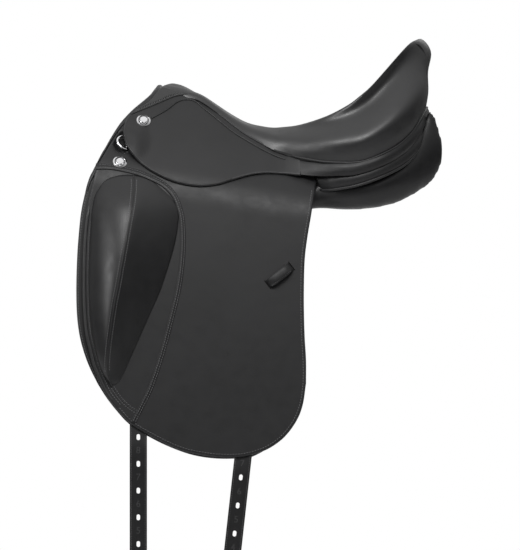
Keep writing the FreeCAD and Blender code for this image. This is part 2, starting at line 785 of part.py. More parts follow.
def billet(top, run, bend_z):
    """A girth billet: flat between the flaps, then bent plumb below them.

    top is the row-frame point of its upper end, and run its way forward per unit of fall.
    Returns the strap, the end of its bend, and the directions of its hanging part and of its width."""
    inner, outer = BILLET_LAYER
    start = low_at(top.x, top.z, inner)
    knee = low_at(top.x + run * (top.z - bend_z), bend_z, inner)
    fall = (knee - start).normalize()
    plumb = V(run, 0, -1).normalize()
    turn = math.acos(fall.dot(plumb))
    trim = BILLET_BEND_RADIUS * math.tan(turn / 2)
    tip = knee + plumb * ((knee.z - BILLET_TIP_Z) / -plumb.z)
    bend_start, bend_end = knee - fall * trim, knee + plumb * trim
    width = fall.cross(plumb).normalize()
    inward = width.cross(fall).normalize()
    if inward.y > 0:
        inward = inward * -1
    spin = width if width.cross(fall).dot(inward) > 0 else width * -1
    centre = bend_start + inward * BILLET_BEND_RADIUS
    side = width * (BILLET_WIDTH / 2)
    out = inward * (inner - outer)
    corners = [start - side, start + side, start + side + out, start - side + out]
    section = Part.Face(Part.makePolygon(corners + corners[:1]))
    upper = section.extrude(bend_start - start)
    section.translate(bend_start - start)
    bend = section.copy().revolve(centre, spin, math.degrees(turn))
    section.rotate(centre, spin, math.degrees(turn))
    lower = section.extrude(tip - bend_end)
    return upper.fuse(bend).fuse(lower), bend_end, plumb, width


def slot_cutter(centre, along, across):
    """Face of one round-ended hole."""
    reach = along * (BILLET_HOLE_LENGTH / 2 - BILLET_HOLE_RADIUS)
    side = across * BILLET_HOLE_RADIUS
    cap = along * BILLET_HOLE_RADIUS
    far, near = centre + reach, centre - reach
    edges = [
        Part.makeLine(near + side, far + side),
        Part.Arc(far + side, far + cap, far - side).toShape(),
        Part.makeLine(far - side, near - side),
        Part.Arc(near - side, near - cap, near + side).toShape(),
    ]
    return Part.Face(Part.Wire(edges))


def finish_billet(made, first, pitch):
    """Cuts the slotted holes, first to last, and the pointed tip."""
    body, bend_end, plumb, axis = made
    normal = axis.cross(plumb).normalize()
    end = bend_end + plumb * ((bend_end.z - BILLET_TIP_Z) / -plumb.z)
    for i in range(BILLET_HOLES):
        z = first - i * pitch * -plumb.z
        centre = bend_end + plumb * ((bend_end.z - z) / -plumb.z)
        body = body.cut(slot_cutter(centre - normal * 20, plumb, axis).extrude(normal * 40))
    for s in (-1, 1):
        corner = end + axis * (s * BILLET_WIDTH / 2) - normal * 20
        wedge = Part.Face(Part.makePolygon([
            corner + plumb * 2, corner - axis * (s * 8) + plumb * 2, corner - axis * (s * 8),
            corner - plumb * 22, corner - plumb * 22 + axis * (s * 3), corner + plumb * 2 + axis * (s * 3),
            corner + plumb * 2])).extrude(normal * 40)
        body = body.cut(wedge)
    return one_solid(body).removeSplitter()


def front_billet():
    top = V(FRONT_BILLET_X, 0, 34)
    return finish_billet(billet(top, 0, FRONT_BEND_Z), FRONT_HOLE_Z, FRONT_HOLE_PITCH)


def rear_billet():
    run = -math.tan(math.radians(REAR_BILLET_SLANT))
    rise = 6 - REAR_BILLET_FOOT.z
    top = V(REAR_BILLET_FOOT.x - run * rise, 0, 6)
    return finish_billet(billet(top, run, REAR_BEND_Z), REAR_HOLE_Z, REAR_HOLE_PITCH)


def girth_web(x_foot, z_foot, rise, lean_forward):
    """Webbing that carries a billet, from the tree down to just above the billet's head."""
    sheet = band(WEB_LAYER, below=40, above=96)
    half = BILLET_WIDTH / 2 - 1
    top_z = z_foot + rise
    shift = lean_forward * rise
    prism = side_prism([(x_foot - half, z_foot), (x_foot - half + shift, top_z)],
                       [(x_foot + half + shift, top_z), (x_foot + half, z_foot)])
    return one_solid(sheet.common(prism))


# ---------------------------------------------------------------- front roll and webbing


def pommel_roll():
    """Rolled leather facing round the front of the head, from flap to flap over the pommel."""
    path = [(-236, 79), (-228, 92), (-216, 111), (-202, 131), (-186, 146), (-170, 160), (-160, 171)]
    points = [high_at(x, z, -1) for x, z in path] + [V(-153.5, 24, 181), V(-151, 0, 185.5)]
    points += [V(p.x, -p.y, p.z) for p in reversed(points[:-1])]
    spine = spline_edge(points)
    wires = []
    for i in range(25):
        first, last = spine.FirstParameter, spine.LastParameter
        t = first + (last - first) * i / 24
        centre, tangent = spine.valueAt(t), spine.tangentAt(t)
        wires.append(Part.Wire([Part.makeCircle(5.5, centre, tangent)]))
    return ruled_loft(wires)


def seat_web():
    """Webbing stretched along the middle of the tree, under the foam."""
    path = [(-96, 155), (-56, 128), (-10, 105), (40, 99), (90, 106), (140, 122), (185, 150), (206, 172)]
    wires = [quad(V(x, 0, z), V(0, 1, 0), V(0, 0, 1), 34, 1.2) for x, z in path]
    return ruled_loft(wires)


def cross_web(x, z, half):
    """Webbing across the tree, tacked to both rails."""
    path = [(-half, z + 3), (-half / 2, z + 0.5), (0, z), (half / 2, z + 0.5), (half, z + 3)]
    wires = [quad(V(x, y, h), V(1, 0, 0), V(0, 0, 1), 26, 1.2) for y, h in path]
    return ruled_loft(wires)


# ---------------------------------------------------------------- assembly


def both(parts, name, shape):
    parts[name + "_right"] = shape
    parts[name + "_left"] = mirrored(shape)


def build():
    parts = {}
    head = tree_head()
    cantle = tree_cantle()
    side = rail().cut(head).cut(cantle)
    side = one_solid(side)
    rails = side.fuse(mirrored(side))
    parts["tree_head"] = head
    parts["tree_cantle"] = cantle
    parts["gullet_plate"] = gullet_plate()
    parts["pommel_roll"] = pommel_roll()
    both(parts, "tree_rail", side)

    web = seat_web().cut(head).cut(cantle)
    crossing = cross_web(44, 90, 64)
    crossing = crossing.cut(rails).cut(web)
    parts["seat_web_long"] = one_solid(web)
    parts["seat_web_cross"] = one_solid(crossing)

    inner_parts = head.fuse(cantle).fuse(rails)
    foam = seat_layer(COVER + CLEAR, foam_thickness, inset=3.5, lift=2)
    foam = foam.cut(inner_parts).cut(web)
    parts["seat_foam"] = one_solid(foam)
    cover = seat_layer(0, lambda x: COVER)
    parts["seat_cover"] = one_solid(cover)

    strip = cantle_strip()
    facing = rear_facing()
    piping = welt_piping()
    parts["cantle_back"] = cantle_back()
    parts["cantle_strip"] = strip
    parts["rear_facing"] = facing
    parts["welt_piping"] = piping.cut(strip)

    core = panel_body(PANEL_SKIN, PANEL_STATIONS[1:-1])
    both(parts, "panel_cover", panel_body(0, PANEL_STATIONS).cut(core))
    both(parts, "panel_flock", core)

    both(parts, "sweat_flap", sweat_flap())
    both(parts, "flap", flap())
    both(parts, "flap_head", one_solid(flap_head().cut(parts["pommel_roll"])))
    both(parts, "knee_block_cover", knee_block())
    both(parts, "knee_block_foam", block_foam())
    both(parts, "leather_keeper", keeper())
    both(parts, "skirt", skirt().cut(skirt_notch()))
    both(parts, "skirt_head", one_solid(skirt_head().cut(skirt_notch())))

    both(parts, "stirrup_bar", stirrup_bar())
    both(parts, "bar_catch", bar_catch())
    both(parts, "catch_pin", catch_pin())
    rivets = bar_rivets()
    parts["bar_rivets"] = Part.makeCompound(rivets + [mirrored(r) for r in rivets])
    both(parts, "head_stud", stud(-175, 137, SKIRT_LAYER[1] + 0.02))
    both(parts, "flap_stud", stud(-210.3, 74.4, FLAP_LAYER[1] + 0.02))
    both(parts, "d_ring", d_ring())
    both(parts, "dee_chape", dee_chape())

    both(parts, "billet_front", front_billet())
    both(parts, "billet_rear", rear_billet())
    both(parts, "web_front", girth_web(FRONT_BILLET_X, 36, 58, 0.12))
    both(parts, "web_rear", girth_web(REAR_BILLET_FOOT.x + 41, 8, 56, 0.1))
    return parts


def main():
    os.makedirs("parts", exist_ok=True)
    for name, shape in build().items():
        valid = shape.isValid()
        print(f"{name:20s} solids {len(shape.Solids)} volume {shape.Volume / 1000:9.2f} cm3 valid {valid}")
        shape.exportStep(f"parts/{name}.step")


main()
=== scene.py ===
import math

import bmesh
import bpy
import numpy as np
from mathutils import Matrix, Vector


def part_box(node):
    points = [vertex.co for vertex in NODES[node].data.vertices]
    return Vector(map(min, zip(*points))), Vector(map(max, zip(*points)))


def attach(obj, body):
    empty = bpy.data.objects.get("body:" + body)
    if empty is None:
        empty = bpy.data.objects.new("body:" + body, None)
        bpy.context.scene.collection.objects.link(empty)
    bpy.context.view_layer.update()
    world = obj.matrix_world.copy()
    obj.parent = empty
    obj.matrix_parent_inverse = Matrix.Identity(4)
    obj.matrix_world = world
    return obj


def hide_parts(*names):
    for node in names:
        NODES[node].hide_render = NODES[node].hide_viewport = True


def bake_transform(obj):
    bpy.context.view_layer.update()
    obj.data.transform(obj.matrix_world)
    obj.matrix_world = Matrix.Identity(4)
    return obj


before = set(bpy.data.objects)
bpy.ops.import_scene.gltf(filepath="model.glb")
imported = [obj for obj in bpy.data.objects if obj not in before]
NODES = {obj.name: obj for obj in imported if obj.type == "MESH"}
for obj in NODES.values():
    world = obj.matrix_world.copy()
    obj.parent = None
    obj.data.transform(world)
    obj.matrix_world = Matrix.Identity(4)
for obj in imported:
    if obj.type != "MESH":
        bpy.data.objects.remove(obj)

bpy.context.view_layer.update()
SIDES = ((-1, "left"), (1, "right"))

# Every length below is in millimetres, in the frame of the CAD model, and becomes metres in mesh_piece().
# The sheets lie on one folded surface. w is the height above the fold line, which falls towards the rear.
SLOPE = math.radians(9.8)
SPLAY = math.radians(14)
LEAN = math.radians(36)
FOLD_X, FOLD_Z, FOLD_Y = -90, 31.5, 122
BEND_Y, BEND_W, BEND_R = 20.4, -47.4, 110
SWEAT, FLAP, SKIRT = 1.75, 11.35, 15.65
FLAP_HALF, THIN_HALF = 1.95, 1.75
FLAP_FACE = FLAP + FLAP_HALF
FAR_FROM_EDGE = 99.0
FLIP = np.array([1, -1, 1])

# The camera stands this far out, in metres, and this high, in millimetres
CAMERA_AWAY = 34
EYE_Z = -94.5


def fold_y(x, z, o):
    """Distance from the centreline of the folded surface at offset o."""
    x, z = np.asarray(x, float), np.asarray(z, float)
    w = (z - FOLD_Z) * math.cos(SLOPE) + (x - FOLD_X) * math.sin(SLOPE)
    low = FOLD_Y - w * math.tan(SPLAY) + o / math.cos(SPLAY)
    high = FOLD_Y - w * math.tan(LEAN) + o / math.cos(LEAN)
    bend = BEND_Y + np.sqrt(np.maximum((BEND_R + o) ** 2 - (w - BEND_W) ** 2, 0))
    start, end = (BEND_W + (BEND_R + o) * math.sin(angle) for angle in (SPLAY, LEAN))
    return np.where(w < start, low, np.where(w > end, high, bend))


def on_fold(path, o, s):
    """A plane path or grid, as (x, z), laid on the folded surface at offset o on side s."""
    path = np.asarray(path, float)
    return np.stack([path[..., 0], s * fold_y(path[..., 0], path[..., 1], o), path[..., 1]], -1)


def fold_normal(path, o, s):
    """Outward direction of the folded surface at each point of a plane path or grid."""
    path = np.asarray(path, float)
    x, z = path[..., 0], path[..., 1]
    dx = (fold_y(x + 0.5, z, o) - fold_y(x - 0.5, z, o)) * s
    dz = (fold_y(x, z + 0.5, o) - fold_y(x, z - 0.5, o)) * s
    return unit(np.stack([-dx, np.ones_like(dx), -dz], -1)) * s


def unit(v):
    """The vectors of an array, each made one long."""
    return v / np.maximum(np.linalg.norm(v, axis=-1, keepdims=True), 1e-9)


def tangents(path, closed=False):
    """Direction along a path or a closed loop at each of its points."""
    return unit(np.roll(path, -1, 0) - np.roll(path, 1, 0) if closed else np.gradient(path, axis=0))


def grid_normals(grid):
    """Direction square to a grid at each of its points."""
    return unit(np.cross(np.gradient(grid, axis=1), np.gradient(grid, axis=0)))


def eased(t):
    """Softens the start and the end of a value that runs from 0 to 1."""
    return t * t * (3 - 2 * t)


def ironed(line, times):
    """Evens out the bumps of a line and keeps its two ends."""
    for _ in range(times):
        line[1:-1] = (line[:-2] + 2 * line[1:-1] + line[2:]) / 4
    return line


def distances(line):
    """Distance along a line at each of its points."""
    return np.r_[0, np.cumsum(np.linalg.norm(np.diff(line, axis=0), axis=1))]


def sample(line, way, at):
    """Columns of a line whose points lie at the distances way, read off at other distances."""
    return np.column_stack([np.interp(at, way, column) for column in line.T])


def circle(count):
    """Angles evenly spaced round a circle."""
    return np.linspace(0, 2 * math.pi, count, endpoint=False)


def millimetres(box):
    """Low and high corner of a box, in millimetres."""
    return [np.array(corner) * 1000 for corner in box]


def spline_rows(points, per, wrap=False):
    """Catmull-Rom rows along the first axis of an array of points."""
    p = np.asarray(points, float)
    p = np.concatenate([p[-1:], p, p[:2]]) if wrap else p
    t = np.linspace(0, 1, per, endpoint=False).reshape(-1, *([1] * (p.ndim - 1)))
    out = []
    for a, b, c, d in zip(p[:-3], p[1:-2], p[2:-1], p[3:]):
        curve = 2 * b + (c - a) * t + (2 * a - 5 * b + 4 * c - d) * t ** 2 + (3 * b - a - 3 * c + d) * t ** 3
        out.append(curve / 2)
    if not wrap:
        out.append(p[-2:-1])
    return np.concatenate(out)


def smooth(points, count, closed=False, ease=0):
    """Points evenly spaced along a smooth curve through the given ones, ironed ease times."""
    p = np.asarray(points, float)
    ends = (p[-1:], p[:2]) if closed else (2 * p[:1] - p[1:2], 2 * p[-1:] - p[-2:-1])
    line = ironed(spline_rows(np.vstack([ends[0], p, ends[1]]), 20), ease)
    way = distances(line)
    out = sample(line, way, np.linspace(0, way[-1], count + int(closed)))
    return out[:-1] if closed else out


def shifted(path, distance, closed=False):
    """A plane path or loop moved sideways, to its left when positive."""
    t = tangents(np.asarray(path, float), closed)
    return path + np.column_stack([-t[:, 1], t[:, 0]]) * distance


def coons(low, high, left, right):
    """Grid that fills four joined curves. low and high run left to right, left and right run upwards."""
    u = np.linspace(0, 1, len(low))[None, :, None]
    v = np.linspace(0, 1, len(left))[:, None, None]
    ruled = (1 - v) * low[None] + v * high[None] + (1 - u) * left[:, None] + u * right[:, None]
    corners = (1 - u) * (1 - v) * low[0] + u * (1 - v) * low[-1] + (1 - u) * v * high[0] + u * v * high[-1]
    return ruled - corners


def quads(rows, cols, wrap=False, first=0):
    """Faces of a grid of points, numbered from first. wrap joins its last row to its first."""
    i = np.arange(rows if wrap else rows - 1)[:, None]
    j = np.arange(cols - 1)[None, :]
    a = first + i * cols + j
    b = first + (i + 1) % rows * cols + j
    return np.stack([a, b, b + 1, a + 1], -1).reshape(-1, 4)


def band(a, b):
    """Faces between two closed loops of points, given by their numbers."""
    return np.stack([a, np.roll(a, -1), np.roll(b, -1), b], -1)


def rim_of(rows, cols):
    """Numbers of the points round the border of a grid."""
    index = np.arange(rows * cols).reshape(rows, cols)
    return np.r_[index[0, :-1], index[:-1, -1], index[-1, :0:-1], index[:0:-1, 0]]


def sleeve(rows, cols):
    """Faces of a grid whose last column lies on its first, with both ends closed."""
    last = (rows - 1) * cols
    return quads(rows, cols).tolist() + [list(range(cols - 1)), list(range(last, last + cols - 1))]


def mesh_piece(name, points, faces, material, body, slot, *replaced, edge=None, angle=50):
    """Makes a piece of the saddle, in metres, that rides on a body, or on none."""
    mesh = bpy.data.meshes.new(name)
    mesh.from_pydata((np.asarray(points, float) / 1000).tolist(), [], [list(map(int, f)) for f in faces])
    edge = np.full(len(points), FAR_FROM_EDGE) if edge is None else edge
    mesh.attributes.new("edge", "FLOAT", "POINT").data.foreach_set("value", edge.astype(np.float32))
    bm = bmesh.new()
    bm.from_mesh(mesh)
    bmesh.ops.remove_doubles(bm, verts=bm.verts, dist=2e-5)
    bmesh.ops.recalc_face_normals(bm, faces=bm.faces)
    bm.to_mesh(mesh)
    bm.free()
    mesh.shade_smooth()
    mesh.set_sharp_from_angle(angle=math.radians(angle))
    mesh.materials.append(material)
    piece = bpy.data.objects.new(name, mesh)
    bpy.context.scene.collection.objects.link(piece)
    if replaced:
        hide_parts(*replaced)
    if body:
        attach(piece, body)
    return piece


def slab(name, mid, thick, material, body, slot, *replaced, side=1):
    """A sheet with rounded edges round the grid mid. Each point knows how far it is from the sheet's edge."""
    rows, cols = mid.shape[:2]
    n = grid_normals(mid)
    n = n * (np.sign(np.mean(n[..., 1])) or 1) * side
    r = thick / 2
    rim = rim_of(rows, cols)
    flat, flat_n = mid.reshape(-1, 3), n.reshape(-1, 3)
    ring, ring_n = flat[rim], flat_n[rim]
    out = np.cross(tangents(ring, True), ring_n)
    out = out * (1 if np.sum((ring - flat.mean(0)) * out) > 0 else -1)
    turns = [math.radians(a) for a in (60, 30, 0, -30, -60)]
    rings = [ring + out * r * math.cos(a) + ring_n * r * math.sin(a) for a in turns]
    count, k = rows * cols, len(rim)
    points = np.vstack([flat + flat_n * r, flat - flat_n * r] + rings)
    chain = [rim] + [2 * count + i * k + np.arange(k) for i in range(len(turns))] + [rim + count]
    faces = [quads(rows, cols), quads(rows, cols, first=count)]
    faces += [band(a, b) for a, b in zip(chain[:-1], chain[1:])]
    near = np.full((rows, cols), FAR_FROM_EDGE)
    for border in (mid[:1], mid[-1:], mid[:, :1], mid[:, -1:]):
        near = np.minimum(near, np.linalg.norm(mid - border, axis=2))
    edge = np.r_[near.ravel(), near.ravel(), np.zeros(k * len(turns))]
    return mesh_piece(name, points, np.vstack(faces), material, body, slot, *replaced, edge=edge)


def fold_grid(low, right, high, left, o, s, cells, inset=0, ease=4):
    """Grid on the folded surface that fills four plane curves, given anticlockwise."""
    n, m = cells
    a, b, c, d = (smooth(p, k + 1, ease=ease) for p, k in ((low, n), (right, m), (high, n), (left, m)))
    loop = shifted(np.vstack([a[:-1], b[:-1], c[:-1], d[:-1]]), inset, closed=True)
    a, b, c = loop[:n + 1], loop[n:n + m + 1], loop[n + m:2 * n + m + 1][::-1]
    d = np.vstack([loop[2 * n + m:], loop[:1]])[::-1]
    return on_fold(coons(a, c, d, b), o, s)


def tube(name, path, radius, material, body, slot, *replaced, sides=12, closed=False, up=(0.1, 0.2, 1),
         flat=1):
    """A round cord along the path, or an oval one where flat isn't 1."""
    path = np.asarray(path, float)
    r = np.broadcast_to(np.asarray(radius, float), (len(path),))
    t = tangents(path, closed)
    b = unit(np.cross(t, np.broadcast_to(np.asarray(up, float), t.shape)))
    n = np.cross(b, t)
    a = circle(sides)[None, :, None]
    ring = np.cos(a) * b[:, None] + flat * np.sin(a) * n[:, None]
    grid = path[:, None] + ring * r[:, None, None]
    rows, j = len(path), np.arange(sides)
    faces = []
    for i in range(rows if closed else rows - 1):
        faces += band(i * sides + j, (i + 1) % rows * sides + j).tolist()
    if not closed:
        faces += [j, (rows - 1) * sides + j]
    return mesh_piece(name, grid.reshape(-1, 3), faces, material, body, slot, *replaced)


def cord(name, path, radius, body, *replaced, **how):
    """A tube of piping leather."""
    return tube(name, path, radius, PIPING_LEATHER, body, "leather_piping", *replaced, **how)


def stitches(name, path, normal, body, pitch=4.2, length=3.1, radius=0.55, slant=8, material=None):
    """A row of sewn stitches along the path, each a small rounded grain of thread sunk in the leather."""
    path, normal = np.asarray(path, float), np.asarray(normal, float)
    way = distances(path)
    at = np.arange(pitch / 2, way[-1] - pitch / 3, pitch)
    c, n = sample(path, way, at), unit(sample(normal, way, at))
    t = unit(sample(path, way, at + 0.5) - sample(path, way, at - 0.5))
    b = unit(np.cross(n, t))
    turn = math.radians(slant)
    t, b = t * math.cos(turn) + b * math.sin(turn), b * math.cos(turn) - t * math.sin(turn)
    a = circle(6)[None, :, None]
    loops = []
    for x, r in ((-0.5, 0.25), (-0.36, 0.85), (0, 1.0), (0.36, 0.85), (0.5, 0.25)):
        dip = -0.35 * radius if abs(x) == 0.5 else 0.15 * radius
        ring = (np.cos(a) * b[:, None] + np.sin(a) * n[:, None]) * r * radius
        loops.append(c[:, None] + t[:, None] * x * length + n[:, None] * dip + ring)
    grid = np.stack(loops, 1)
    numbers = np.arange(grid[..., 0].size).reshape(grid.shape[:3])
    faces = []
    for stitch in numbers:
        for start, end in zip(stitch[:-1], stitch[1:]):
            faces += band(start, end).tolist()
        faces += [stitch[0], stitch[-1]]
    return mesh_piece(name, grid.reshape(-1, 3), faces, material or THREAD, body, "leather_piping")


def fold_stitches(name, path, o, s, body, **how):
    """A row of stitches along a plane path on the folded surface."""
    return stitches(name, on_fold(path, o, s), fold_normal(path, o, s), body, **how)


# ---------------------------------------------------------------- materials


class Nodes:
    """Short way to write a node material."""

    def __init__(self, name):
        self.material = bpy.data.materials.new(name)
        self.material.use_nodes = True
        self.tree = self.material.node_tree
        self.shader = self.tree.nodes["Principled BSDF"]
        coords = self.tree.nodes.new("ShaderNodeTexCoord")
        self.place = coords.outputs["Object"]

    def add(self, kind, inputs=(), **settings):
        node = self.tree.nodes.new(kind)
        for key, value in settings.items():
            setattr(node, key, value)
        for key, value in dict(inputs).items():
            if isinstance(value, bpy.types.NodeSocket):
                self.tree.links.new(value, node.inputs[key])
            else:
                node.inputs[key].default_value = value
        return node

    def noise(self, scale, detail=3, rough=0.55):
        inputs = {"Vector": self.place, "Scale": scale, "Detail": detail, "Roughness": rough}
        return self.add("ShaderNodeTexNoise", inputs).outputs["Fac"]

    def cells(self, scale, feature="F1", randomness=1.0):
        inputs = {"Vector": self.place, "Scale": scale, "Randomness": randomness}
        return self.add("ShaderNodeTexVoronoi", inputs, feature=feature).outputs["Distance"]

    def spread(self, value, low, high, start=0.0, end=1.0):
        inputs = {"Value": value, "From Min": start, "From Max": end, "To Min": low, "To Max": high}
        return self.add("ShaderNodeMapRange", inputs).outputs["Result"]

    def sum(self, a, b, operation="ADD"):
        return self.add("ShaderNodeMath", {0: a, 1: b}, operation=operation).outputs["Value"]

    def mix(self, factor, a, b):
        node = self.add("ShaderNodeMix", {"Factor": factor}, data_type="RGBA")
        for socket, value in ((node.inputs[6], a), (node.inputs[7], b)):
            if isinstance(value, bpy.types.NodeSocket):
                self.tree.links.new(value, socket)
            else:
                socket.default_value = (*value, 1)
        return node.outputs[2]

    def bump(self, height, strength, distance, normal=None):
        inputs = {"Height": height, "Strength": strength, "Distance": distance}
        if normal:
            inputs["Normal"] = normal
        return self.add("ShaderNodeBump", inputs).outputs["Normal"]

    def finish(self, colour, rough, normal=None, **plain):
        for key, value in (("Base Color", colour), ("Roughness", rough), ("Normal", normal)):
            if isinstance(value, bpy.types.NodeSocket):
                self.tree.links.new(value, self.shader.inputs[key])
            elif value is not None:
                self.shader.inputs[key].default_value = (*value, 1) if key == "Base Color" else value
        for key, value in plain.items():
            self.shader.inputs[key.replace("_", " ")].default_value = value
        return self.material


def leather(name, tone, rough=0.42, grain=950, depth=0.14, gloss=0.36, wear=True):
    """Smooth black leather: fine pebble grain, slight creases, a worn and polished edge."""
    m = Nodes(name)
    pebbles = m.cells(grain)
    creases = m.noise(grain * 0.55, 4, 0.6)
    height = m.sum(m.spread(pebbles, 0, 0.8), m.spread(creases, 0, 0.6))
    fine = m.bump(height, depth, 0.0004)
    slow = m.noise(26, 3)
    waves = m.bump(slow, 0.05, 0.004, fine)
    patches = m.noise(9, 4)
    colour = m.mix(m.spread(patches, 0, 1, 0.3, 0.7), [c * 0.82 for c in tone], [c * 1.2 for c in tone])
    shine = m.spread(m.noise(60, 5), rough - 0.05, rough + 0.07, 0.3, 0.7)
    if wear:
        edge = m.add("ShaderNodeAttribute", attribute_name="edge", attribute_type="GEOMETRY").outputs["Fac"]
        worn = m.sum(m.spread(edge, 1, 0, 0, 2.2), m.spread(m.noise(300, 4), 0.2, 1, 0.3, 0.7), "MULTIPLY")
        colour = m.mix(worn, colour, [c * 2.6 for c in tone])
        shine = m.sum(shine, m.spread(worn, 0, -0.1))
    return m.finish(colour, shine, waves, Specular_IOR_Level=gloss, Sheen_Weight=0.04, Sheen_Roughness=0.5)


def metal(name, colour, rough, scratch=0.05):
    """Polished or brushed metal with fine scuffs."""
    m = Nodes(name)
    scuffs = m.noise(900, 6, 0.7)
    shine = m.spread(scuffs, rough * 0.8, rough * 1.5, 0.3, 0.7)
    return m.finish(colour, shine, m.bump(m.noise(2500, 3), scratch, 0.0001), Metallic=1.0)


def wood():
    """Laminated beech of the tree."""
    m = Nodes("beech_ply")
    inputs = {"Vector": m.place, "Scale": 9.0, "Distortion": 5.0, "Detail": 3.0, "Detail Scale": 1.6}
    rings = m.add("ShaderNodeTexWave", inputs, bands_direction="Z").outputs["Fac"]
    colour = m.mix(rings, (0.42, 0.25, 0.12), (0.62, 0.42, 0.23))
    return m.finish(colour, m.spread(rings, 0.5, 0.62), m.bump(m.noise(500, 4), 0.15, 0.0004))


def webbing():
    """Woven linen web."""
    m = Nodes("woven_web")
    inputs = {"Vector": m.place, "Scale": 160.0, "Distortion": 0.4, "Detail": 1.0}
    across = m.add("ShaderNodeTexWave", inputs, bands_direction="X").outputs["Fac"]
    along = m.add("ShaderNodeTexWave", inputs, bands_direction="Y").outputs["Fac"]
    weave = m.sum(across, along, "MULTIPLY")
    colour = m.mix(weave, (0.10, 0.09, 0.075), (0.34, 0.31, 0.26))
    return m.finish(colour, m.spread(weave, 0.95, 0.75), m.bump(weave, 0.5, 0.0006), Sheen_Weight=0.3)


def padding(name, tone, scale):
    """Foam, wool or paint: a dull, slightly lumpy surface."""
    m = Nodes(name)
    lumps = m.noise(scale, 5, 0.7)
    colour = m.mix(lumps, [c * 0.8 for c in tone], tone)
    return m.finish(colour, m.spread(lumps, 0.85, 1.0), m.bump(lumps, 0.6, 0.001), Sheen_Weight=0.2)


def thread_material():
    """Dark twisted thread."""
    m = Nodes("thread")
    inputs = {"Vector": m.place, "Scale": 2200.0, "Distortion": 2.0}
    twist = m.add("ShaderNodeTexWave", inputs, bands_direction="DIAGONAL").outputs["Fac"]
    colour = m.mix(twist, (0.05, 0.05, 0.05), (0.12, 0.12, 0.125))
    return m.finish(colour, m.spread(twist, 0.5, 0.7), m.bump(twist, 0.4, 0.0002), Sheen_Weight=0.15)


def floor_material():
    """Matt pale floor of the studio."""
    m = Nodes("studio_floor")
    tone = m.mix(m.noise(3, 4), (0.78, 0.78, 0.78), (0.84, 0.84, 0.84))
    return m.finish(tone, 0.8, m.bump(m.noise(120, 3), 0.04, 0.001))


BLACK = (0.0085, 0.0085, 0.009)
SEAT_LEATHER = leather("seat_leather", BLACK, 0.38, 1050, 0.08, 0.62, wear=False)
FLAP_LEATHER = leather("flap_leather", (0.007, 0.007, 0.0075), 0.42, 1000, 0.13, 0.32)
SKIRT_LEATHER = leather("skirt_leather", BLACK, 0.44, 1000, 0.15)
BLOCK_LEATHER = leather("block_leather", (0.006, 0.006, 0.0065), 0.36, 1050, 0.09, 0.45, wear=False)
PANEL_LEATHER = leather("panel_leather", (0.005, 0.005, 0.0055), 0.36, 900, 0.16, 0.4, wear=False)
STRAP_LEATHER = leather("strap_leather", (0.006, 0.006, 0.0065), 0.46, 800, 0.2, 0.34)
PIPING_LEATHER = leather("piping_leather", BLACK, 0.4, 1200, 0.12, 0.4, wear=False)
# Painted shade: near-black leather laid in the keeper's slots and in the roll's sunk seam, where those
# recesses fall in shade
PAINTED_SHADE_LEATHER = leather("slot_edge", (0.003, 0.003, 0.003), 0.7, 900, 0.2, 0.1, wear=False)
THREAD = thread_material()
PAINT = padding("digit_paint", (0.035, 0.035, 0.036), 900)
CHROME = metal("polished_chrome", (0.80, 0.80, 0.81), 0.09)
STEEL = metal("brushed_steel", (0.50, 0.50, 0.51), 0.3, 0.12)
# Dark metal: the black lacquer of the tree's head, and painted reflection rings on the chrome studs
DARK_LACQUER_AND_STUD_REFLECTION = metal("dark_lacquer_and_painted_reflection", (0.03, 0.03, 0.032), 0.3, 0.1)
WOOD = wood()
WEB = webbing()
FOAM = padding("seat_foam_rubber", (0.62, 0.55, 0.38), 700)
FLOCK = padding("wool_flock", (0.70, 0.67, 0.60), 260)
FINISH = {
    "chrome": CHROME, "steel": STEEL, "wood": WOOD, "webbing": WEB, "foam": FOAM, "flock": FLOCK,
    "leather_seat": SEAT_LEATHER, "leather_flap": FLAP_LEATHER, "leather_skirt": SKIRT_LEATHER,
    "leather_panel": PANEL_LEATHER, "leather_block": BLOCK_LEATHER, "leather_strap": STRAP_LEATHER,
    "leather_piping": PIPING_LEATHER,
}


def repaint_nodes():
    """Gives every CAD node the finish of its own material slot. The tree's head is lacquered black."""
    for name, node in NODES.items():
        for slot in node.material_slots:
            known = slot.material.name.split(".")[0] if slot.material else ""
            slot.material = DARK_LACQUER_AND_STUD_REFLECTION if name == "tree_head" else FINISH.get(known, STRAP_LEATHER)
        node.data.shade_smooth()


# ---------------------------------------------------------------- outlines, as (x, z) seen from the side

FLAP_FRONT = [
    (-193, 145), (-206, 130.4), (-217.5, 114.6), (-227.6, 97.4), (-237.6, 80), (-246, 64), (-252.6, 38),
    (-258.5, 12), (-262.5, -15), (-265, -45), (-266, -80), (-266, -120), (-265, -150), (-262, -182),
    (-256, -208), (-250, -231), (-240, -255),
]
FLAP_BOTTOM = [
    (-240, -255), (-230, -275.5), (-214, -296), (-195, -316), (-170, -332), (-137, -349), (-120, -356),
    (-102, -361), (-68, -366.5), (-33, -367), (-10.5, -363), (12.6, -354.5), (35.6, -338), (54, -314),
    (64, -289), (69, -256.5),
]
FLAP_REAR = [
    (69, -256.5), (69, -222), (67, -187.5), (66, -153), (65.8, -118.5), (67, -73), (71, -38.6), (77.5, 0),
    (84.6, 48),
]
FLAP_TOP = [
    (84.6, 48), (72, 58), (38, 72), (-10, 92), (-60, 118), (-110, 146), (-150, 155), (-176, 153), (-193, 145),
]

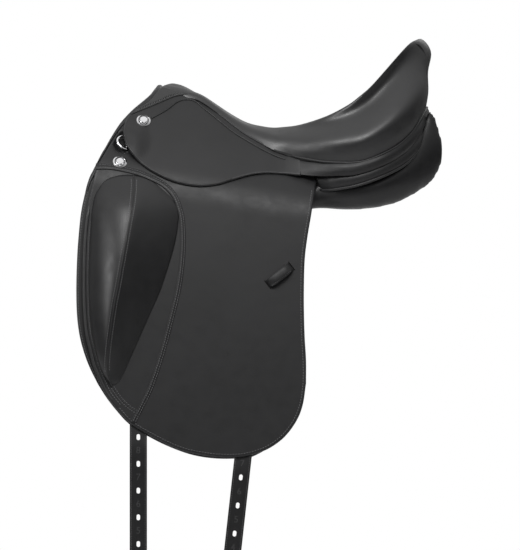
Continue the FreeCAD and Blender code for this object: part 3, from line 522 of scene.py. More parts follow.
SWEAT_FRONT = [
    (-244, 72), (-255, 54), (-261.5, 32), (-268, 2), (-271.5, -30), (-274, -65), (-275.3, -110),
    (-274.5, -150), (-271, -181), (-265, -206), (-256, -231), (-243, -257.5),
]
SWEAT_BOTTOM = [
    (-243, -257.5), (-230, -278), (-214, -298.5), (-196, -317.5), (-170, -334.5), (-137, -351),
    (-102, -363.5), (-68, -369), (-33, -369), (-8, -365), (30, -340), (52, -305), (60, -262),
]
SWEAT_REAR = [(60, -262), (62, -230), (61, -160), (61, -60), (64, 0), (66, 30)]
SWEAT_TOP = [(66, 30), (0, 40), (-90, 52), (-180, 66), (-225, 74), (-244, 72)]

WELT = [
    (-194, 147.5), (-179, 153.5), (-163, 160), (-142, 169), (-128, 174.6), (-114, 177), (-102, 176),
    (-90, 170.5), (-71, 155), (-48, 136.8), (-25, 119.2), (-1.5, 105), (20, 94.5), (35, 88.5),
]
SKIRT_REAR_X = 60
SKIRT_TOP = WELT[::-1][:-1] + [(-194, 146)]
SKIRT_FRONT = [(-194, 146), (-199.5, 138), (-203, 127), (-204, 114), (-201, 99.5), (-193, 87)]
SKIRT_BOTTOM = [
    (-193, 87), (-181.5, 76.5), (-163, 63), (-140, 51), (-117, 43.5), (-90, 40), (-64, 42.6), (-41, 49.5),
    (-15, 56.8), (7.5, 59.5), (35, 58.5), (60, 56.3),
]
BEAD = [
    (-163, 141), (-140, 154), (-125, 165.5), (-112, 169.5), (-98, 167), (-83, 155), (-60, 136.5), (-38, 119),
    (-1.5, 97), (17, 87.5), (35, 80), (52, 75.2),
]

# Strip round the cantle: x, then y and z of its lower and upper edge
STRIP = [
    (37, 106.3, 58.5, 86.5, 87.8), (60, 110.5, 56.3, 96.5, 81.5), (84, 117, 54.3, 108.5, 76.5),
    (115, 124, 54.3, 120.5, 73.6), (146, 127.5, 56.5, 126.5, 74), (183, 122, 69, 123, 85),
    (215, 103, 87, 105, 104.5), (236, 78, 108, 80, 128), (246, 48, 127, 50, 145), (251, 22, 140, 23, 154),
    (252, 0, 143, 0, 156.5),
]
# The facing below it: x and y, then z of its lower and upper edge
FACING = [
    (76, 94, 34, 56), (86, 98, 33.5, 56), (99, 107, 33.5, 56), (113, 115.5, 34.5, 56), (146, 123, 40.5, 59),
    (183, 118, 53.5, 71.5),
    (215, 99.5, 70, 90), (236, 75, 90, 111), (246, 46, 112, 130), (250, 21, 126, 142), (251, 0, 130, 146),
]


# ---------------------------------------------------------------- camera, light and floor


def camera():
    """Looks at the near side from far off, so that it sees little perspective, as the photograph does."""
    data = bpy.data.cameras.new("camera")
    data.sensor_width = 36
    near_flap, seen_width = 0.13, 0.825
    data.lens = data.sensor_width * (CAMERA_AWAY - near_flap) / seen_width
    data.clip_start = 1
    data.clip_end = 200
    eye = bpy.data.objects.new("camera", data)
    eye.location = (0, -CAMERA_AWAY, EYE_Z / 1000)
    eye.rotation_euler = (math.pi / 2, 0, 0)
    bpy.context.scene.collection.objects.link(eye)
    bpy.context.scene.camera = eye


def area_light(name, place, aim, size, power):
    """A rectangular lamp at place that shines at aim."""
    data = bpy.data.lights.new(name, "AREA")
    data.shape = "RECTANGLE"
    data.size, data.size_y = size
    data.energy = power
    lamp = bpy.data.objects.new(name, data)
    lamp.location = place
    way = np.array(aim) - np.array(place)
    tilt = math.acos(-way[2] / np.linalg.norm(way))
    lamp.rotation_euler = (tilt, 0, math.atan2(way[1], way[0]) - math.pi / 2)
    bpy.context.scene.collection.objects.link(lamp)


def studio():
    """White ground, a sky that only the saddle sees, three soft lamps and a pale floor."""
    scene = bpy.context.scene
    scene.view_settings.view_transform = "Standard"
    scene.view_settings.look = "None"
    scene.world = bpy.data.worlds.new("studio")
    scene.world.use_nodes = True
    tree = scene.world.node_tree
    new, link = tree.nodes.new, tree.links.new
    backdrop = tree.nodes["Background"]
    backdrop.inputs["Color"].default_value = (1, 1, 1, 1)
    fill = new("ShaderNodeBackground")
    ramp = new("ShaderNodeMapRange")
    for key, value in (("From Min", -0.05), ("From Max", 0.9), ("To Min", 0.02), ("To Max", 1.2)):
        ramp.inputs[key].default_value = value
    parts = new("ShaderNodeSeparateXYZ")
    choose = new("ShaderNodeMixShader")
    link(new("ShaderNodeTexCoord").outputs["Generated"], parts.inputs[0])
    link(parts.outputs["Z"], ramp.inputs["Value"])
    link(ramp.outputs["Result"], fill.inputs["Strength"])
    link(new("ShaderNodeLightPath").outputs["Is Camera Ray"], choose.inputs[0])
    link(fill.outputs[0], choose.inputs[1])
    link(backdrop.outputs[0], choose.inputs[2])
    link(choose.outputs[0], tree.nodes["World Output"].inputs["Surface"])
    area_light("key", (-0.15, -0.95, 0.85), (0.02, -0.1, 0.1), (1.0, 0.3), 10)
    area_light("front", (-1.7, -1.2, 0.7), (-0.15, 0, 0.05), (0.5, 0.7), 9)
    area_light("back", (0.9, 1.6, 1.2), (0.1, 0, 0.1), (1.2, 0.8), 3)
    bpy.ops.mesh.primitive_grid_add(x_subdivisions=8, y_subdivisions=8, size=7, location=(0, 0, -0.7))
    floor = bpy.context.object
    floor.name = "floor"
    floor.data.materials.append(floor_material())


# ---------------------------------------------------------------- sheets


def bend_with_flap(piece):
    """Bakes the transform of a piece sewn to the flap into its mesh."""
    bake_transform(piece)


def bend_with_skirt(piece):
    """Bakes the transform of a piece sewn to the skirt into its mesh."""
    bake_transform(piece)


def make_flap(s, side):
    """The flap, pressed in a little behind the D-ring, with its stitches and its front edge's binding."""
    grid = fold_grid(FLAP_BOTTOM, FLAP_REAR, FLAP_TOP, FLAP_FRONT, FLAP, s, (110, 150), inset=FLAP_HALF)
    low, high = millimetres(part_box(f"d_ring_{side}"))
    centre, half = (low + high) / 2, (high - low) / 2 + 3
    off = np.hypot((grid[..., 0] - centre[0]) / half[0], (grid[..., 2] - centre[2]) / half[2])
    press = eased(np.clip((1.25 - off) / 0.35, 0, 1)) * 6.5
    grid -= fold_normal(grid[..., [0, 2]], FLAP, s) * press[..., None]
    flap = slab(f"flap_leather_{side}", grid, 2 * FLAP_HALF, FLAP_LEATHER, None, "leather_flap",
                f"flap_{side}", f"flap_head_{side}", side=s)
    bend_with_flap(flap)
    rear = smooth(FLAP_BOTTOM[2:] + FLAP_REAR[1:-1] + [(82.5, 34)], 500, ease=4)
    front = smooth(FLAP_FRONT[7:] + FLAP_BOTTOM[1:3], 300, ease=4)
    for kind, line, distance in (("edge", rear, 4.6), ("front", front, 8.6)):
        row = fold_stitches(f"flap_{kind}_stitch_{side}", shifted(line, distance), FLAP_FACE, s, None)
        bend_with_flap(row)
    path = on_fold(shifted(front, 3.0), FLAP + 1.3, s)
    binding = cord(f"flap_binding_{side}", path, taper(300, 3.0), None, flat=0.62, up=(0, -s, 0))
    bend_with_flap(binding)


def taper(count, radius):
    """Radius along a cord that thins out at both ends."""
    t = np.linspace(0, 1, count)
    return radius * np.clip(np.minimum(t, 1 - t) / 0.06 + 0.15, 0, 1)


def make_sweat_flap(s, side):
    """The sweat flap, stitched on both faces."""
    grid = fold_grid(SWEAT_BOTTOM, SWEAT_REAR, SWEAT_TOP, SWEAT_FRONT, SWEAT, s, (80, 90), inset=THIN_HALF)
    slab(f"sweat_leather_{side}", grid, 2 * THIN_HALF, FLAP_LEATHER, "saddle", "leather_flap",
         f"sweat_flap_{side}", side=s)
    edge = smooth(SWEAT_FRONT[2:] + SWEAT_BOTTOM[1:-1], 500, ease=4)
    for kind, distance, face in (("edge", 3, THIN_HALF), ("inner", 5, -THIN_HALF)):
        fold_stitches(f"sweat_{kind}_stitch_{side}", shifted(edge, distance), SWEAT + face, s, "saddle")


def over_ring(path, side):
    """How far the skirt stands off where the D-ring swings beneath its front edge."""
    low, high = millimetres(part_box(f"d_ring_{side}"))
    away = np.hypot((path[..., 0] - high[0]) / 20, (path[..., 2] - (low[2] + high[2]) / 2) / 24)
    return 7 * eased(np.clip((1.7 - away) / 1.4, 0, 1))[..., None]


def make_skirt(s, side):
    """The skirt, which passes over into the cantle strip at its rear, with a cord and a bead."""
    top = [(SKIRT_REAR_X, 81)] + SKIRT_TOP
    rear = [(60, 56.3), (60, 68), (60, 81)]
    grid = fold_grid(SKIRT_BOTTOM, rear, top, SKIRT_FRONT, SKIRT, s, (110, 40))
    rows = np.array(STRIP, float)
    x, z = grid[..., 0], grid[..., 2]
    low_y, low_z, top_y, top_z = (np.interp(x, rows[:4, 0], rows[:4, k]) for k in (1, 2, 3, 4))
    strip_y = low_y + (top_y - low_y) * (z - low_z) / (top_z - low_z)
    part = eased(np.clip((x - 5) / (SKIRT_REAR_X - 5), 0, 1))
    grid[..., 1] = s * (np.abs(grid[..., 1]) * (1 - part) + strip_y * part)
    grid += fold_normal(grid[..., [0, 2]], SKIRT, s) * over_ring(grid, side)
    skirt = slab(f"skirt_leather_{side}", grid, 2 * THIN_HALF, SKIRT_LEATHER, None, "leather_skirt",
                 f"skirt_{side}", f"skirt_head_{side}", side=s)
    bend_with_skirt(skirt)
    edge = smooth(SKIRT_FRONT + SKIRT_BOTTOM[1:], 320, ease=4)
    low = on_fold(shifted(edge, 0.6), SKIRT + 0.2, s)
    low += fold_normal(low[:, [0, 2]], SKIRT, s) * over_ring(low, side)
    bend_with_skirt(cord(f"skirt_cord_{side}", low[:230], taper(230, 2.1), None))
    bead = on_fold(smooth(BEAD, 160, ease=6), SKIRT + 2, s)
    bend_with_skirt(cord(f"skirt_bead_{side}", bead, 1.25, None, sides=8))


def make_stud_reflection_rings(s, side):
    """Painted reflection: a dark metal line round the dish of each stud, and one round its eye, standing in
    for the dark rings that the chrome reflects.
    """
    face_height = 0.9
    a = circle(48)[:, None]
    for kind in ("head", "flap"):
        low, high = millimetres(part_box(f"{kind}_stud_{side}"))
        centre = (low + high) / 2
        normal = fold_normal(centre[[0, 2]], SKIRT, s)
        across = unit(np.cross(normal, (0, 0, 1.0)))
        upward = np.cross(across, normal)
        # Painted reflection: dark rings laid on the chrome face
        for line, radius, width in (("rim", 7.4, 0.75), ("eye", 3.4, 0.6)):
            ring = centre + normal * face_height + radius * (np.cos(a) * across + np.sin(a) * upward)
            name = f"{kind}_stud_{line}_{side}"
            tube(name, ring, width, DARK_LACQUER_AND_STUD_REFLECTION, "saddle", "steel", closed=True, sides=8)


def back_and_round(right):
    """A path or grid of the off side, carried on round the back to the near side."""
    return np.concatenate([right, (right * FLIP)[::-1][1:]])


def make_strips():
    """The strip round the cantle and the facing below it, with a cord along each."""
    v = np.linspace(0, 1, 9)
    belly = np.sin(v * math.pi)
    rows = smooth(STRIP, 90)
    rows = rows[np.argmax(rows[:, 0] > SKIRT_REAR_X) - 1:]
    swell = belly * np.clip((rows[:, :1] - 62) / 60, 0, 1) * 1.2
    grid = rows[:, None, [0, 1, 2]] * (1 - v[:, None]) + rows[:, None, [0, 3, 4]] * v[:, None]
    whole = back_and_round(grid)
    ring_slab("cantle_strip_leather", whole, 3.5, np.concatenate([swell, swell[::-1][1:]]), "cantle_strip")
    rows = smooth(FACING, 90)
    low, high = rows[:, [0, 1, 2]], rows[:, [0, 1, 3]]
    whole = back_and_round(low[:, None] * (1 - v[:, None]) + high[:, None] * v[:, None])
    ring_slab("rear_facing_leather", whole, 3.0, np.broadcast_to(belly * 2.4, whole.shape[:2]), "rear_facing")
    cord("facing_cord", back_and_round(low + (0, 1.5, -0.5)), 2.2, "saddle", sides=10)
    cord("strip_cord", back_and_round(high + (0, 2.2, 0)), 1.5, "saddle", sides=10)


def ring_slab(name, grid, thick, belly, *replaced):
    """A slab that runs round the back, so that its outward side is taken from its own centre."""
    n = grid_normals(grid)
    outward = grid - np.array([80, 0, 80])
    n = n * np.where(np.sum(n * outward, axis=2, keepdims=True) < 0, -1, 1)
    shoulder = math.sin(math.radians(40))
    profile = np.array([0.35, shoulder, 1, 1, 1, 1, 1, shoulder, 0.35])
    outer = grid + n * (thick / 2 * profile[None, :, None] + belly[..., None])
    inner = grid - n * thick / 2
    section = np.concatenate([outer, inner[:, ::-1], outer[:, :1]], axis=1)
    return mesh_piece(name, section.reshape(-1, 3), sleeve(*section.shape[:2]), SKIRT_LEATHER, "saddle",
                      "leather_skirt", *replaced, angle=40)


# ---------------------------------------------------------------- seat

# Rows of the seat, from the middle of the pommel round one side to the middle of the cantle: welt point,
# crest point, centreline point, then the side's bulge, the hollow above it and the inner slope's sag
SEAT = [
    ((-150, 0, 187), (-143, 0, 191), (-143, 0, 191), 0, 0, 0),
    ((-149, 20, 183), (-139, 13, 192), (-138, 0, 193), 3, 2, 0.5),
    ((-143, 41, 171), (-132, 20, 190.5), (-130, 0, 194), 5, 4, 1),
    ((-124, 44, 171.5), (-117, 23, 186.5), (-116, 0, 190.5), 6, 5, 1.5),
    ((-104, 46, 171.5), (-100, 24, 178.5), (-99, 0, 181.5), 6, 5, 1.5),
    ((-90, 50, 167), (-87, 25, 170.5), (-86, 0, 172), 7, 6, 1),
    ((-71, 56, 154.5), (-67, 26, 157), (-66, 0, 158), 7, 6, 2),
    ((-48, 62, 136.5), (-44, 28, 143), (-44, 0, 144), 7, 6, 2.2),
    ((-25, 70, 119), (-20, 30, 132), (-20, 0, 131.8), 8, 6, 2),
    ((0, 81, 104.5), (2, 34, 128), (2, 0, 127), 10, 7, 0.8),
    ((20, 89, 93.5), (20, 40, 127), (20, 0, 124.5), 11, 7, -1),
    ((35, 92.5, 88.5), (36, 47, 128.3), (36, 0, 124), 11, 7, -1),
    ((59, 101, 81.5), (60, 61, 131.5), (60, 0, 125), 12, 6, -2),
    ((100, 117, 75), (100, 84, 144.5), (90, 0, 129), 13, 3, -4),
    ((135, 124, 73.5), (133, 92, 162), (115, 0, 133), 15, -1, -6),
    ((158, 124.5, 76.5), (149, 91, 174.5), (135, 0, 140), 17, -4, -8),
    ((183, 119, 86), (166, 86, 189), (152, 0, 150), 18, -6, -9),
    ((208, 107, 99.6), (190, 77, 216), (168, 0, 161), 18, -7, -10),
    ((227, 90, 117), (211, 61, 240), (176, 0, 171), 17, -5, -7),
    ((238.5, 69, 135), (226, 42, 255.5), (182, 0, 180), 14, 2, -4),
    ((247, 40, 150), (236, 21, 260.5), (187, 0, 188), 9.5, 13, -2),
    ((250, 0, 157), (239, 0, 262), (190, 0, 193), 9, 17, -1),
]


def make_seat():
    """The seat's cover, from the welt over the rolled rim to the middle, closed underneath."""
    w, r, c = (np.array([row[k] for row in SEAT], float) for k in range(3))
    bulge, hollow, sag = (np.array([row[k] for row in SEAT], float)[:, None] for k in (3, 4, 5))
    before = np.vstack([w[1:2] * FLIP, w[:-1]])
    after = np.vstack([w[1:], w[-2:-1] * FLIP])
    n = -unit(np.cross(after - before, r - w))
    f = np.interp(np.arange(len(w)), [0, 12, 15, 21], [0.45, 0.42, 0.36, 0.52])[:, None]
    low = w + (r - w) * f * 0.45 + n * bulge * 0.72
    belly = w + (r - w) * f + n * bulge
    dip = w + (r - w) * 0.8 + n * hollow
    slope = r + (c - r) * 0.45 + np.array([0, 0, 1]) * sag
    half = np.stack([w, low, belly, dip, r, slope, c], 1)
    rows = spline_rows(np.concatenate([half, (half * FLIP)[-2:0:-1]]), 4, True)
    across = np.concatenate([2 * rows[:, :1] - rows[:, 1:2], rows, rows[:, -2:-1] * FLIP], axis=1)
    cover = spline_rows(across.transpose(1, 0, 2), 6).transpose(1, 0, 2)
    for _ in range(3):
        inner = cover[:, 1:-1]
        around = (np.roll(cover, 1, 0) + np.roll(cover, -1, 0))[:, 1:-1] + cover[:, 2:] + cover[:, :-2]
        cover[:, 1:-1] = inner * 0.5 + around * 0.125
    edge, middle = cover[:, :1], cover[:, -1:]
    tuck = unit((edge - (60, 0, 0)) * (1, 1, 0))
    under = [middle - (0, 0, 15), edge * 0.45 + middle * 0.55 - (0, 0, 15), edge - tuck * 4 - (0, 0, 5)]
    grid = np.concatenate([cover] + under + [edge], axis=1)
    seat = mesh_piece("seat_leather", grid.reshape(-1, 3), quads(*grid.shape[:2], wrap=True), SEAT_LEATHER,
                      "saddle", "leather_seat", "seat_cover", "seat_foam", "cantle_back", angle=60)


def make_welt():
    """The cord between the seat and the skirt, the pleats beside it and the seams down the cantle's back."""
    front = on_fold(WELT, SKIRT + 1.4, 1)
    rear = [(59, 101.5, 81.8), (84, 111.8, 77.2), (100, 117.6, 75.2), (135, 125, 74), (158, 125.4, 76.9),
            (183, 120.4, 86.4), (208, 108.6, 100.2), (227, 91.4, 117.6), (238.8, 70.6, 135.6),
            (247.6, 41, 150.6), (250.5, 20, 156), (251.5, 0, 157.6)]
    path = smooth(np.vstack([front, rear]), 330, ease=3)
    cord("welt_cord", back_and_round(path), 1.9, "saddle", "welt_piping")
    seam = smooth([(231, 38, 254.5), (241, 34, 250), (248.5, 30, 236), (250, 33, 214), (248.5, 40, 190),
                   (246.5, 48, 166)], 60)
    for s, side in SIDES:
        gather(s, side)
        cord(f"cantle_seam_{side}", seam * (1, s, 1), 0.8, "saddle", sides=8)


def gather(s, side):
    """Small pleats where the seat leather is drawn into the welt beside the pommel."""
    line = shifted(smooth(WELT[1:6], 120), 2.6)
    path, normal = on_fold(line, SKIRT + 1.2, s), fold_normal(line, SKIRT, s)
    stitches(f"seat_pleats_{side}", path, normal, "saddle", pitch=2.9, length=6.5, radius=1.1, slant=72,
             material=SEAT_LEATHER)


def make_seat_points(s, side):
    """The points of the seat leather that run forward between the roll and the skirt."""
    low = [(-193, 146.5), (-179, 152.5), (-163, 159), (-142, 168), (-122, 174), (-104, 174), (-88, 167)]
    high = [(-88, 169), (-104, 177.5), (-122, 180), (-138, 184), (-146, 186), (-152, 181), (-164, 167),
            (-180.5, 154.5), (-192.5, 147.3)]
    rear, front = [(-88, 167), (-88, 169)], [(-192.5, 147.5), (-193, 146.5)]
    grid = fold_grid(low, rear, high, front, SKIRT - 2, s, (60, 12))
    slab(f"seat_point_{side}", grid, 4, SEAT_LEATHER, "saddle", "leather_seat", side=s)


def make_roll():
    """The padded roll over the pommel and down the front of the head, with a sunk seam along it whose shade
    is painted as a dark cord.
    """
    plane = [(-262, 22), (-256.5, 42), (-249, 58), (-241, 72), (-234, 84), (-228, 93.5), (-217, 113),
             (-204.5, 131.8), (-188.7, 149), (-173.5, 162), (-162, 172)]
    raised = np.interp([p[0] for p in plane], (-262, -244, -216, -190, -165), (1.9, 1.5, 5.5, 8.5, 8))
    crown = [(-154.5, 26, 181.5), (-151.5, 12, 185.5), (-151, 0, 186.5)]
    path = back_and_round(smooth(np.vstack([on_fold(plane, raised, 1), crown]), 110, ease=6))
    radius = np.interp(np.arange(110), [0, 18, 34, 110], [1.8, 3.4, 5.5, 5.5])
    radius = np.r_[radius, radius[::-1][1:]]
    roll = cord("pommel_roll_leather", path, radius, "saddle", "pommel_roll", sides=16)
    line = smooth([(-246, 70), (-236.5, 84), (-225.5, 103.5), (-215, 119.5), (-204, 133), (-193, 145.5),
                   (-178, 158)], 90)
    height = np.interp(line[:, 0], (-246, -193, -178), (10, 13.4, 14.5))
    for s, side in SIDES:
        seam = on_fold(line, height, s)
        # Painted shade: a near-black cord lies in the seam's groove
        tube(f"roll_seam_shade_{side}", seam, 0.9, PAINTED_SHADE_LEATHER, "saddle", "leather_piping", sides=8)


def make_lining():
    """Leather lining of the gullet, under the tree's head."""
    rows = []
    for x in np.linspace(-128, -70, 16):
        z = np.array([72, 90, 108, 122]) - (x + 90) * 0.17
        side_path = np.column_stack([np.full(4, x), fold_y(x, z, -19.5), z])
        arch = np.vstack([side_path, [(x, 20, z[-1] + 9), (x, 0, z[-1] + 12)]])
        rows.append(smooth(back_and_round(arch), 60, ease=4))
    slab("gullet_lining", np.array(rows), 1.6, PANEL_LEATHER, "saddle", "leather_panel")


# ---------------------------------------------------------------- knee block

BLOCK_LEFT = [
    (-240, 38), (-247, 26), (-251.5, 8), (-254.5, -22), (-257, -74), (-257.5, -112), (-256, -148),
    (-251.5, -185), (-245, -217), (-235, -244), (-222, -260),
]
BLOCK_RIDGE = [
    (-190, 56), (-189, 46), (-189.5, 28.5), (-192, 7), (-197, -22), (-202, -51), (-207, -79), (-212, -108),
    (-217.5, -136), (-222, -166), (-226, -196), (-228.5, -222), (-228, -243), (-222, -260),
]
BLOCK_RIGHT = [
    (-143, 31), (-130, 17), (-122, 0), (-124, -30), (-130, -58), (-139, -88), (-149.5, -119), (-164.5, -153),
    (-180, -188), (-195, -222), (-206, -246), (-213, -256), (-222, -260),
]
BLOCK_TOP_FRONT = [(-240, 38), (-233, 46.5), (-223, 52), (-208, 55.5), (-190, 56)]
BLOCK_TOP_REAR = [(-190, 56), (-176, 53), (-160, 45.5), (-143, 31)]
# Height of the block's ridge, as z and then the height at each
BLOCK_HEIGHT = (
    (-262, -235, -205, -146, -96, -46, 0, 24, 42, 52, 57),
    (1, 15, 27, 38, 42, 42, 35, 26, 15, 6, 0),
)
COVER_SEAM = [
    (-246, 64), (-232, 64.2), (-220, 63.3), (-207, 61), (-194, 58), (-180, 54), (-163, 47), (-146, 37.5),
    (-133, 24), (-125, 6), (-120.5, -15), (-119.5, -51), (-122, -85), (-127, -118), (-137, -160),
    (-150.5, -211), (-166, -258), (-178, -284), (-189.5, -306), (-193.5, -315),
]
DOUBLE_SEAM = {"pitch": 3.8, "length": 2.8}


def make_block(s, side):
    """The padded knee block, two rounded faces that meet in a double-stitched ridge."""
    n, m = 34, 90
    left, ridge, right = (smooth(line, m + 1, ease=6) for line in (BLOCK_LEFT, BLOCK_RIDGE, BLOCK_RIGHT))
    top_front, top_rear = smooth(BLOCK_TOP_FRONT, n + 1), smooth(BLOCK_TOP_REAR, n + 1)
    tip = np.repeat(ridge[-1:], n + 1, 0)
    front, rear = coons(top_front, tip, left, ridge), coons(top_rear, tip, ridge, right)
    plane = np.concatenate([front, rear[:, 1:]], axis=1)
    height = ironed(np.interp(ridge[:, 1], *BLOCK_HEIGHT), 45)
    u = np.linspace(0, 1, n + 1)
    rise = np.sin(u * math.pi / 2) ** 0.62 * 0.86 + u ** 2 * 0.14
    fall = (1 - u) ** 0.95 * (1 - 0.08 * np.sin(u * math.pi))
    profile = ironed(np.r_[rise, fall[1:]], 3)
    shape = np.sqrt(np.clip(np.linspace(0, 1, m + 1) / 0.12, 0, 1))[:, None]
    lift = height[:, None] * profile[None] * (0.35 + 0.65 * shape)
    lift[0] = lift[0] * 0.1
    raised = lift[1:-1, 1:-1] > 6
    reach = fold_y(plane[..., 0], plane[..., 1], FLAP + 2.4) + lift * 1.06
    for _ in range(30):
        around = reach[:-2, 1:-1] + reach[2:, 1:-1] + reach[1:-1, :-2] + reach[1:-1, 2:]
        reach[1:-1, 1:-1] += 0.125 * (around - 4 * reach[1:-1, 1:-1]) * raised
    top = np.stack([plane[..., 0], s * reach, plane[..., 1]], -1)
    base = on_fold(plane, FLAP + 1.9, s)
    rows, cols = top.shape[:2]
    rim = rim_of(rows, cols)
    faces = [quads(rows, cols), quads(rows, cols, first=rows * cols), band(rim, rim + rows * cols)]
    points = np.vstack([top.reshape(-1, 3), base.reshape(-1, 3)])
    block = mesh_piece(f"knee_block_{side}", points, np.vstack(faces), BLOCK_LEATHER, None, "leather_block",
                       f"knee_block_cover_{side}", f"knee_block_foam_{side}", angle=70)
    bend_with_flap(block)
    normal = grid_normals(top)
    normal = (normal * np.where(normal[..., 1:2] * s < 0, -1, 1))[:, n]
    middle = top[:, n]
    bend_with_flap(cord(f"block_seam_{side}", middle + normal * 0.3, 1.1, None, sides=8))
    for distance, name in ((-4, "front"), (4, "rear")):
        path = column_at(top, middle, distance)[2:-6]
        row = stitches(f"block_{name}_stitch_{side}", path, normal[2:-6], None, **DOUBLE_SEAM)
        bend_with_flap(row)


def column_at(grid, line, distance):
    """The path on the grid that keeps a set distance from its line, before or after it."""
    step = 1 if distance > 0 else -1
    middle = grid.shape[1] // 2
    out = []
    for row, start in zip(grid, line):
        left, last = abs(distance), row[middle]
        k = middle
        while 0 < k < grid.shape[1] - 1:
            k += step
            run = np.linalg.norm(row[k] - last)
            if run >= left:
                last = last + (row[k] - last) * left / max(run, 1e-6)
                break
            left, last = left - run, row[k]
        out.append(last)
    return np.array(out)


def lip(name, path, s, height=1.7, width=9):
    """The turned edge of the flap's window: steep inside, easing down to the flap on the outside."""
    profile = ((0, -0.6), (0, height * 0.55), (0.5, height * 0.9), (1.3, height), (width * 0.5, height * 0.8),
               (width * 0.8, height * 0.3), (width, -0.4))
    top = [on_fold(shifted(path, d), FLAP_FACE + h, s) for d, h in profile]
    grid = np.stack(top + [on_fold(shifted(path, width / 2), FLAP + 0.5, s), top[0]], 1)
    return mesh_piece(name, grid.reshape(-1, 3), sleeve(*grid.shape[:2]), FLAP_LEATHER, None, "leather_flap",
                      angle=60)


def make_cover(s, side):
    """The edge of the flap's window round the block, double sewn over the block's cover."""
    seam = smooth(COVER_SEAM, 420, ease=6)
    bend_with_flap(lip(f"window_edge_{side}", seam[::2], s))
    for distance, height, name in ((2.9, 3.65, "inner"), (6.4, 2.95, "outer")):
        line = shifted(seam, distance)[4:-3]
        path, normal = on_fold(line, FLAP + height, s), fold_normal(line, FLAP, s)
        bend_with_flap(stitches(f"cover_{name}_stitch_{side}", path, normal, None, **DOUBLE_SEAM))
    body = f"flap_body_{side}"
    tail = smooth([(-221, -262), (-209, -279), (-197, -291), (-184, -300)], 60)
    for distance, name in ((2.2, "outer"), (-2.2, "inner")):
        line = shifted(tail, distance)
        fold_stitches(f"tail_{name}_stitch_{side}", line, FLAP_FACE, s, body, **DOUBLE_SEAM)
    cord(f"tail_seam_{side}", on_fold(tail, FLAP + 1.8, s), 0.8, body, sides=8)


# ---------------------------------------------------------------- keeper and billets


def make_keeper(s, side):
    """A folded strip of leather, let into two slots, that holds the tail of the stirrup leather. The shade in
    each slot is painted as a dark cord.
    """
    body = f"flap_body_{side}"
    turn = math.radians(37.8)
    ahead = np.array([math.cos(turn), math.sin(turn)])
    up = np.array([-ahead[1], ahead[0]])
    centre = np.array([29.5, -95.0])
    half_length = 22
    t = np.linspace(-1, 1, 41)
    rise = 8.2 * (1 - np.abs(t) ** 4.5) - 1.2
    half = 7.6 - 1.0 * np.abs(t) ** 3
    a = circle(24)
    rings = []
    for k in range(len(t)):
        across = np.sign(np.cos(a)) * np.abs(np.cos(a)) ** 0.75 * half[k]
        depth = np.sin(a) * (2.6 + 0.4 * (1 - t[k] ** 2))
        plane = centre + ahead * (t[k] * half_length) + across[:, None] * up
        rings.append(on_fold(plane, FLAP + 2 + rise[k] + depth, s))
    grid = np.array(rings)
    grid = np.concatenate([grid, grid[:, :1]], axis=1)
    mesh_piece(f"keeper_leather_{side}", grid.reshape(-1, 3), sleeve(*grid.shape[:2]), STRAP_LEATHER, body,
               "leather_strap", f"leather_keeper_{side}")
    run = np.linspace(-19, 19, 50)
    line = centre + ahead * run[:, None] - up * 5.0
    path = on_fold(line, FLAP + 2 + np.interp(run / half_length, t, rise) + 2.1, s)
    normal = fold_normal(line, FLAP, s)
    stitches(f"keeper_stitch_{side}", path, normal, body, pitch=3.2, length=2.3, radius=0.35)
    # Painted shade: a near-black cord across each end, where the keeper goes into its slot
    for end, name in ((-22.8, "front"), (22.8, "rear")):
        slot_line = on_fold(centre + ahead * end + up * np.linspace(-8.6, 8.6, 20)[:, None], FLAP_FACE, s)
        tube(f"keeper_slot_shade_{name}_{side}", slot_line, taper(20, 1.4), PAINTED_SHADE_LEATHER, body, "leather_piping",
             sides=8, flat=0.5)


BILLET_HALF, BILLET_HEAD, BILLET_END_Z = 12.9, 90, -690
BILLET_BACK, BILLET_FACE = 5.6, 8.55
# How far the near billets are from the centreline, in metres
BILLET_OUT = 0.221


def strap_y(z, knee, x, o):
    """Distance out of a billet at height z: it follows the flap's splay to its knee, then hangs plumb."""
    z = np.asarray(z, float)
    over = np.clip(z - (knee - 6), 0, 12)
    slope = math.tan(SPLAY)
    return fold_y(x, knee, o) + slope * 3 - slope * (over ** 2 / 24 + np.maximum(z - (knee + 6), 0))


